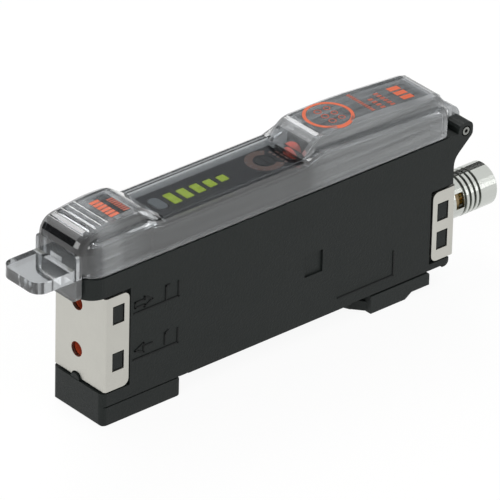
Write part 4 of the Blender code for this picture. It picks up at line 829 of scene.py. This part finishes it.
def turn_towards(holder: Object, target: Triple, front: str) -> None:
    """Turns an object in its place so that its front looks at a point.

    Args:
        holder: The object.
        target: The point in metres.
        front: Axis of the object that is its front, such as -Z.
    """
    ahead = Vector(target) - holder.location
    holder.rotation_euler = ahead.to_track_quat(front, "Y").to_euler()


def square_sheet(name: str, side: float, material: Material) -> Object:
    """Makes a level square sheet round the origin.

    Args:
        name: Object name.
        side: Its side in metres.
        material: Its material.

    Returns:
        The sheet.
    """
    shape = bmesh.new()
    bmesh.ops.create_grid(shape, x_segments=1, y_segments=1, size=side / 2)
    return mesh_object(name, shape, material)


@dataclass(frozen=True)
class Softbox:
    """Square soft lamp that looks at the object.

    Attributes:
        name: Object name.
        place: Its middle in metres.
        side: Its side in metres.
        power: Its power in watts.
        aim: The point in metres that it looks at.
    """

    name: str
    place: Triple
    side: float
    power: float
    aim: Triple = (0.0, 0.0, 0.01)

    def build(self) -> None:
        """Hangs the lamp."""
        lamp = bpy.data.lights.new(self.name, "AREA")
        lamp.shape = "SQUARE"
        lamp.size = self.side
        lamp.energy = self.power
        holder = bpy.data.objects.new(self.name, lamp)
        holder.location = self.place
        turn_towards(holder, self.aim, "-Z")
        bpy.context.scene.collection.objects.link(holder)


@dataclass(frozen=True)
class BlackCard:
    """Black felt card behind the object, which only the glossy surfaces mirror.

    Attributes:
        name: Object name.
        place: Its middle in metres.
        side: Its side in metres.
        colour: Colour of the felt as sRGB hex.
        aim: The point in metres that it looks at.
    """

    name: str
    place: Triple
    side: float = 0.42
    colour: str = "#1C1C1E"
    aim: Triple = (0.0, 0.0, 0.02)

    def build(self) -> None:
        """Stands the card in its place."""
        material = node_material(f"{self.name}_felt")
        felt = material.node_tree.nodes[PRINCIPLED]
        felt.inputs["Base Color"].default_value = linear(self.colour)
        felt.inputs["Roughness"].default_value = 1.0
        felt.inputs["Specular IOR Level"].default_value = 0.0
        card = square_sheet(self.name, self.side, material)
        card.location = self.place
        turn_towards(card, self.aim, "Z")
        card.visible_camera = False
        card.visible_diffuse = False
        card.visible_transmission = False
        card.visible_shadow = False


@dataclass
class Studio:
    """Camera at the photograph's angle, pale floor and soft lamps.

    Attributes:
        turn: Camera azimuth in degrees.
        tilt: Camera elevation in degrees.
        roll: Camera roll in degrees.
        focal_px: Focal length in pixels of the square frame.
        frame_px: Side of that frame in pixels.
        sensor: Width of the camera's sensor in millimetres.
        shift_right: Camera offset to the right in millimetres.
        shift_up: Camera offset upwards in millimetres.
        distance: Camera distance in millimetres.
        middle_y: Y of the middle plane in the camera's own measuring frame.
        farthest: How far the camera sees, in metres.
        paper_colour: Colour of the floor as sRGB hex.
        paper_lift: How far the floor is lifted to white where it is seen.
        floor_side: Side of the floor in metres.
        floor_gap: Depth of the floor under the feet in millimetres, so that the two faces stay apart.
        sky_light: Strength of the world as a light.
        softboxes: The lamps: two behind and above, one at the fibre end, one in front.
        cards: One black card where the level tops mirror it to the camera, and one for the round fronts.
    """

    turn: float = 41.224
    tilt: float = 30.128
    roll: float = 1.390
    focal_px: float = 7188.3
    frame_px: float = 500.0
    sensor: float = 36.0
    shift_right: float = 20.106
    shift_up: float = 24.334
    distance: float = 987.94
    middle_y: float = 5.42
    farthest: float = 10.0
    paper_colour: str = "#F6F6F4"
    paper_lift: float = 0.92
    floor_side: float = 4.0
    floor_gap: float = 0.02
    sky_light: float = 0.5
    softboxes: tuple[Softbox, ...] = (
        Softbox("back_softbox", (0.05, 0.62, 0.78), 1.10, 3.6),
        Softbox("dome_softbox", (0.23, 0.60, 0.70), 0.42, 2.4),
        Softbox("left_softbox", (-0.75, -0.25, 0.45), 0.50, 3.4),
        Softbox("front_softbox", (0.30, -0.80, 0.45), 0.60, 2.6),
    )
    cards: tuple[BlackCard, ...] = (
        BlackCard("black_card_back", (0.40, 0.46, 0.33)),
        BlackCard("black_card_left", (-0.52, 0.50, 0.35)),
    )

    def axes(self) -> tuple[Vector, Vector, Vector]:
        """Works out how the camera is turned.

        Returns:
            The camera's right, up and back directions.
        """
        turn, tilt, roll = [math.radians(angle) for angle in (self.turn, self.tilt, self.roll)]
        level = Vector((math.cos(turn), -math.sin(turn), 0.0))
        back = Vector((-math.sin(turn) * math.cos(tilt), -math.cos(turn) * math.cos(tilt), math.sin(tilt)))
        upright = back.cross(level)
        right = level * math.cos(roll) + upright * math.sin(roll)
        return right, upright * math.cos(roll) - level * math.sin(roll), back

    def add_camera(self) -> None:
        """Places the camera from the measured view."""
        right, up, back = self.axes()
        place = right * self.shift_right + up * self.shift_up + back * self.distance
        lens = bpy.data.cameras.new("photo_view")
        lens.sensor_width = self.sensor
        lens.lens = self.focal_px / self.frame_px * self.sensor
        lens.clip_end = self.farthest
        camera = bpy.data.objects.new("photo_view", lens)
        bpy.context.scene.collection.objects.link(camera)
        turned = Matrix((right, up, back)).transposed().to_4x4()
        camera.matrix_world = Matrix.Translation(at(place.x, place.y - self.middle_y, place.z)) @ turned
        bpy.context.scene.camera = camera

    def add_floor(self) -> None:
        """Lays a pale floor that shows white to the camera and in reflections."""
        floor = square_sheet("floor", self.floor_side, self.floor_material())
        floor.location.z = -self.floor_gap * MM

    def white_seen(self, tree: NodeTree) -> NodeSocket:
        """Tells the rays that see a surface from those that light others by it.

        Args:
            tree: Node tree to add to.

        Returns:
            Output socket with 1 for the camera, a reflection or a clear piece, and 0 for diffuse light.
        """
        ray = add_node(tree, "ShaderNodeLightPath")
        direct = add_node(
            tree, "ShaderNodeMath", {"operation": "MAXIMUM"},
            {0: ray.outputs["Is Camera Ray"], 1: ray.outputs["Is Glossy Ray"]})
        seen = add_node(
            tree, "ShaderNodeMath", {"operation": "MAXIMUM"},
            {0: direct.outputs[0], 1: ray.outputs["Is Transmission Ray"]})
        return seen.outputs[0]

    def floor_material(self) -> Material:
        """Builds pale paper that lifts to white where it is seen, and keeps the object's shadow.

        Returns:
            The floor's material.
        """
        material = node_material("studio_paper")
        tree = material.node_tree
        shader = tree.nodes[PRINCIPLED]
        shader.inputs["Base Color"].default_value = linear(self.paper_colour)
        shader.inputs["Roughness"].default_value = 0.95
        shader.inputs["Specular IOR Level"].default_value = 0.1
        white = add_node(tree, "ShaderNodeEmission", {"Color": WHITE, "Strength": 1.0})
        share = add_node(tree, "ShaderNodeMath", {"operation": "MULTIPLY"}, {0: self.white_seen(tree)})
        share.inputs[1].default_value = self.paper_lift
        mix = add_node(
            tree, "ShaderNodeMixShader",
            links={0: share.outputs[0], 1: shader.outputs["BSDF"], 2: white.outputs["Emission"]})
        tree.links.new(mix.outputs["Shader"], tree.nodes["Material Output"].inputs["Surface"])
        return material

    def add_world(self) -> None:
        """Makes the world white where it is seen and softer as a light."""
        world = bpy.data.worlds.new("studio")
        world.use_nodes = True
        tree = world.node_tree
        sky = tree.nodes["Background"]
        sky.inputs["Color"].default_value = WHITE
        sky.inputs["Strength"].default_value = self.sky_light
        white = add_node(tree, "ShaderNodeBackground", {"Color": WHITE, "Strength": 1.0})
        mix = add_node(
            tree, "ShaderNodeMixShader",
            links={0: self.white_seen(tree), 1: sky.outputs["Background"], 2: white.outputs["Background"]})
        tree.links.new(mix.outputs["Shader"], tree.nodes["World Output"].inputs["Surface"])
        bpy.context.scene.world = world

    def build(self) -> None:
        """Sets up the whole studio."""
        self.add_camera()
        self.add_floor()
        for softbox in self.softboxes:
            softbox.build()
        self.add_world()
        for card in self.cards:
            card.build()
        bpy.context.scene.view_settings.view_transform = "Standard"


# Pieces


@dataclass
class SideMarks:
    """Raised pictograms and the frame line moulded on the near side of the case.

    Attributes:
        depth: Height of the marks above the wall.
        sunk: Depth of their feet in the wall.
        line: Width of their lines.
        upper: Lines of the upper pictogram, as corners in X and Z.
        lower: Lines of the lower pictogram.
        corner: Line round the corner of the side frame.
    """

    depth: float = 0.10
    sunk: float = 0.05
    line: float = 0.22
    upper: tuple[tuple[Pair, ...], ...] = (
        ((5.2, 16.15), (13.1, 16.15), (13.1, 18.5)),
        ((10.83, 16.4), (10.83, 18.55), (11.45, 18.55)),
        ((5.35, 17.0), (5.35, 17.85), (7.0, 17.85), (7.0, 18.25), (8.4, 17.45), (7.0, 16.65), (7.0, 17.0),
         (5.35, 17.0)),
    )
    lower: tuple[tuple[Pair, ...], ...] = (
        ((5.2, 8.75), (13.05, 8.75), (13.05, 11.0)),
        ((10.75, 9.25), (10.75, 11.0), (11.3, 11.3)),
        ((5.4, 10.1), (6.95, 10.9)),
        ((5.4, 10.1), (6.95, 9.5)),
        ((7.1, 10.4), (8.45, 10.4)),
        ((6.95, 10.9), (6.95, 9.5)),
    )
    corner: tuple[Pair, ...] = ((42.6, 4.93), (52.85, 4.93), (52.85, 8.8))

    def build(self, palette: Palette) -> None:
        """Builds the marks as one piece.

        Args:
            palette: Finishes.
        """
        upright = Matrix.Rotation(math.radians(90), 4, "X")
        plates = []
        for path in self.upper + self.lower + (self.corner,):
            for start, end in zip(path, path[1:]):
                shape = flat_plate(stroke(start, end, self.line), self.depth + self.sunk)
                bmesh.ops.transform(shape, matrix=upright, verts=shape.verts)
                plates.append(moved(shape, at(0, NEAR_FACE_Y + self.sunk, 0)))
        # The marks' finish is darker than the case: painted shade of their flanks
        piece("side_marks", merged(plates), palette.get(SHADED_MARK_ABS), Body.HOUSING)


@dataclass
class DialScale:
    """Printed open band with ticks round the sensitivity dial.

    Attributes:
        x: Dial axis along the case.
        y: Dial axis across the case.
        radius: Middle radius of the band.
        width: Width of the band.
        opening: Half of the open angle on the plug side, in degrees.
        tick_count: Number of ticks.
        tick_margin: Angle from an end of the band to its first tick, in degrees.
        tick_line: Width of a tick.
        tick_film: Thickness of the ticks, more than the band's, so that they stand out of it.
        tick_edge: How far past the middle radius the ticks end, as a share of the band's width.
        short_tick: Length of most ticks.
        long_tick: Length of the longer ticks.
        long_every: Number of ticks from one longer tick to the next.
    """

    x: float = 33.3
    y: float = 0.4
    radius: float = 2.25
    width: float = 1.15
    opening: float = 50.0
    tick_count: int = 11
    tick_margin: float = 10.0
    tick_line: float = 0.1
    tick_film: float = 0.05
    tick_edge: float = 0.42
    short_tick: float = 0.25
    long_tick: float = 0.42
    long_every: int = 5

    def add_band(self, palette: Palette) -> None:
        """Builds the open band.

        Args:
            palette: Finishes.
        """
        outline = arc_band(self.radius, self.width, self.opening, 360 - self.opening)
        shape = moved(flat_plate(outline, INK_FILM), at(self.x, self.y, FASCIA_TOP_Z))
        piece("dial_band", shape, palette.get(PRINT_UMBER), Body.HOUSING)

    def add_ticks(self, palette: Palette) -> None:
        """Builds the ticks that stand on the band.

        Args:
            palette: Finishes.
        """
        plates = []
        first = self.opening + self.tick_margin
        sweep = 360 - 2 * first
        outer = self.radius + self.tick_edge * self.width
        for number in range(self.tick_count):
            angle = math.radians(first + sweep * number / (self.tick_count - 1))
            inner = outer - (self.long_tick if number % self.long_every == 0 else self.short_tick)
            start = (inner * math.cos(angle), inner * math.sin(angle))
            end = (outer * math.cos(angle), outer * math.sin(angle))
            shape = flat_plate(stroke(start, end, self.tick_line), self.tick_film)
            plates.append(moved(shape, at(self.x, self.y, FASCIA_TOP_Z)))
        piece("dial_ticks", merged(plates), palette.get(PRINT_WHITE), Body.HOUSING)

    def build(self, palette: Palette) -> None:
        """Builds the band and its ticks."""
        self.add_band(palette)
        self.add_ticks(palette)


@dataclass
class FasciaPrint:
    """Small plain dashes on the dark plate beside the dial.

    Attributes:
        rows: The rows of dashes.
    """

    rows: tuple[BarRow, ...] = (
        BarRow((35.3, 35.65), (-1.9, 2.3), 5, 0.6),
        BarRow((36.1, 36.4), (-1.2, 1.8), 3, 0.7),
    )

    def build(self, palette: Palette) -> None:
        """Builds the dashes as one piece.

        Args:
            palette: Finishes.
        """
        outlines = [outline for row in self.rows for outline in row.outlines()]
        plates = [moved(flat_plate(outline, INK_FILM), at(0, 0, FASCIA_TOP_Z)) for outline in outlines]
        piece("fascia_dashes", merged(plates), palette.get(PRINT_UMBER), Body.HOUSING)


@dataclass
class LampCap:
    """Domed lens over the switching lamp, which shows as a soft red glow through the ramp of the lid.

    Attributes:
        x: Axis along the case.
        y: Axis across the case.
        foot_z: Height of the deck that it stands on.
        radius: Radius of the dome.
        skirt: Height of the straight part below the dome.
        height: Height of the dome.
        rise_steps: Segments from the skirt to the top.
        turn_steps: Segments round the axis.
        weld: Distance in metres under which two points are one.
    """

    x: float = 38.5
    y: float = 0.4
    foot_z: float = 26.6
    radius: float = 1.35
    skirt: float = 0.7
    height: float = 1.35
    rise_steps: int = 12
    turn_steps: int = 40
    weld: float = 1e-7

    def profile(self) -> list[Pair]:
        """Draws half of the cap's section.

        Returns:
            Radius and height of each point, from the middle of the foot to the top.
        """
        points = [(0.0, 0.0), (self.radius, 0.0)]
        for number in range(self.rise_steps):
            angle = math.radians(90 * number / self.rise_steps)
            points.append((self.radius * math.cos(angle), self.skirt + self.height * math.sin(angle)))
        return points + [(0.0, self.skirt + self.height)]

    def build(self, palette: Palette) -> None:
        """Builds the cap as one turned piece.

        Args:
            palette: Finishes.
        """
        shape = bmesh.new()
        verts = [shape.verts.new((radius * MM, 0.0, height * MM)) for radius, height in self.profile()]
        edges = [shape.edges.new(pair) for pair in zip(verts, verts[1:])]
        bmesh.ops.spin(
            shape, geom=verts + edges, cent=(0, 0, 0), axis=(0, 0, 1), angle=math.tau,
            steps=self.turn_steps, use_merge=True)
        bmesh.ops.remove_doubles(shape, verts=shape.verts, dist=self.weld)
        bmesh.ops.recalc_face_normals(shape, faces=shape.faces)
        moved(shape, at(self.x, self.y, self.foot_z))
        piece("lamp_cap", shape, palette.get(LAMP_CAP), Body.HOUSING)


@dataclass
class LatchSpring:
    """Coil behind the latch, built at its rest length; the real coil shortens as the latch slides out.

    Attributes:
        wire: Radius of the wire.
        wire_sides: Segments round the wire.
        turns: Number of turns.
        turn_steps: Segments in one turn.
        travel: Travel of the latch, which the coil loses in length; not used.
    """

    wire: float = 0.14
    wire_sides: int = 8
    turns: int = 7
    turn_steps: int = 16
    travel: float = 2.0

    def build(self, palette: Palette) -> None:
        """Builds the coil in the place of the CAD spring and hangs it on the housing.

        Args:
            palette: Finishes.
        """
        low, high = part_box("latch_spring")
        middle = (low + high) / 2
        wire = self.wire * MM
        count = self.turns * self.turn_steps
        start = Vector((low.x + wire, middle.y + (high.z - low.z) / 2 - wire, middle.z))
        step = (high.x - low.x - 2 * wire) / count
        shape = bmesh.new()
        bmesh.ops.create_circle(shape, segments=self.wire_sides, radius=wire)
        moved(shape, start)
        bmesh.ops.spin(
            shape, geom=shape.verts[:] + shape.edges[:], cent=(start.x, middle.y, middle.z), axis=(1, 0, 0),
            dvec=(step, 0, 0), angle=math.tau * self.turns, steps=count)
        bmesh.ops.holes_fill(shape, edges=[edge for edge in shape.edges if edge.is_boundary])
        bmesh.ops.recalc_face_normals(shape, faces=shape.faces)
        coil = piece("latch_spring_coil", shape, palette.get(CLIP_STAINLESS), Body.HOUSING)
        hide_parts("latch_spring")
        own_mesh(coil)


@dataclass
class LidPrint:
    """Orange screen print on the two domes of the lid: rings and plain bars, draped on the surface.

    Attributes:
        ring: Middle of the large ring along and across the case.
        ring_radius: Middle radius of the large ring.
        ring_line: Width of its line.
        bold_rows: Rows of bold bars, on the front dome and behind the large ring.
        small_rings: Columns of small rings: their place along the case from the large ring's middle, and
            their middle radius.
        small_across: Places of the small rings across the case, from the large ring's middle.
        small_line: Width of their lines.
        front_dashes: Row of dashes on the front dome.
        rear_dashes: Rows of dashes on the rear dome.
        lift: Gap between the ink and the lid, so that the two faces stay apart.
        above: Height over the feet from which the print is laid down.
    """

    ring: Pair = (44.35, -0.25)
    ring_radius: float = 3.42
    ring_line: float = 0.5
    bold_rows: tuple[BarRow, ...] = (
        BarRow((2.6, 4.1), (-3.3, 1.7), 6, 0.74),
        BarRow((56.3, 58.3), (-2.7, 1.6), 3, 0.7),
    )
    small_rings: tuple[Pair, ...] = ((-0.6, 0.5), (1.1, 0.45))
    small_across: tuple[float, ...] = (-1.6, 0.0, 1.6)
    small_line: float = 0.16
    front_dashes: BarRow = BarRow((5.0, 6.1), (-3.1, 0.9), 8, 0.6)
    rear_dashes: tuple[BarRow, ...] = (
        BarRow((50.1, 50.7), (-3.0, 2.8), 12, 0.6),
        BarRow((51.8, 52.6), (-3.1, 0.4), 4, 0.55),
        BarRow((53.6, 54.4), (-3.1, 1.2), 6, 0.6),
    )
    lift: float = 0.01
    above: float = 100.0

    def circle(self, place: Pair, radius: float, line: float) -> list[Pair]:
        """Draws a closed ring.

        Args:
            place: Its middle along and across the case.
            radius: Its middle radius.
            line: Width of its line.

        Returns:
            Corners of the ring.
        """
        return [(place[0] + x, place[1] + y) for x, y in arc_band(radius, line, 0, CLOSED_TURN)]

    def bright_outlines(self) -> list[list[Pair]]:
        """Draws the large ring and the bold bars.

        Returns:
            An outline of each, along and across the case.
        """
        outlines = [self.circle(self.ring, self.ring_radius, self.ring_line)]
        for row in self.bold_rows:
            outlines += row.outlines()
        return outlines

    def faint_outlines(self) -> list[list[Pair]]:
        """Draws the small rings and the dashes.

        Returns:
            An outline of each, along and across the case.
        """
        outlines = self.front_dashes.outlines()
        for across in self.small_across:
            for ahead, radius in self.small_rings:
                place = (self.ring[0] + ahead, self.ring[1] + across)
                outlines.append(self.circle(place, radius, self.small_line))
        for row in self.rear_dashes:
            outlines += row.outlines()
        return outlines

    def lay(self, shape: BMesh, surface: BVHTree) -> None:
        """Lays every corner of a plate on the surface below it.

        Args:
            shape: Plate drawn in the case frame.
            surface: The lid's surface.
        """
        for vert in shape.verts:
            start = at(vert.co.x / MM, vert.co.y / MM, self.above)
            hit = surface.ray_cast(start, Vector((0.0, 0.0, -1.0)))[0]
            vert.co = Vector((start.x, start.y, hit.z + vert.co.z + self.lift * MM))

    def drape(self, outlines: list[list[Pair]], surface: BVHTree) -> BMesh:
        """Makes plates from outlines and lays them on a surface.

        Args:
            outlines: Outlines along and across the case.
            surface: The lid's surface.

        Returns:
            All plates as one shape.
        """
        plates = [flat_plate(outline, INK_FILM) for outline in outlines]
        for shape in plates:
            self.lay(shape, surface)
        return merged(plates)

    def build(self, palette: Palette, lid: Object) -> None:
        """Builds the bright print and the faint print.

        Args:
            palette: Finishes.
            lid: CAD node of the lid.
        """
        corners = [lid.matrix_world @ vert.co for vert in lid.data.vertices]
        surface = BVHTree.FromPolygons(corners, [tuple(face.vertices) for face in lid.data.polygons])
        bright = self.drape(self.bright_outlines(), surface)
        piece("lid_print", bright, palette.get(PRINT_ORANGE), Body.COVER)
        faint = self.drape(self.faint_outlines(), surface)
        piece("lid_small_print", faint, palette.get(PRINT_RUST), Body.COVER)


def main() -> None:
    """Builds the dressed amplifier in its studio."""
    logging.basicConfig(level=logging.INFO, format="%(message)s")
    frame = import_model()
    Studio().build()
    palette = Palette()
    palette.dress_nodes(frame["nodes"])
    SideMarks().build(palette)
    DialScale().build(palette)
    FasciaPrint().build(palette)
    LampCap().build(palette)
    LatchSpring().build(palette)
    LidPrint().build(palette, frame["nodes"]["cover"])


if __name__ == "__main__":
    main()
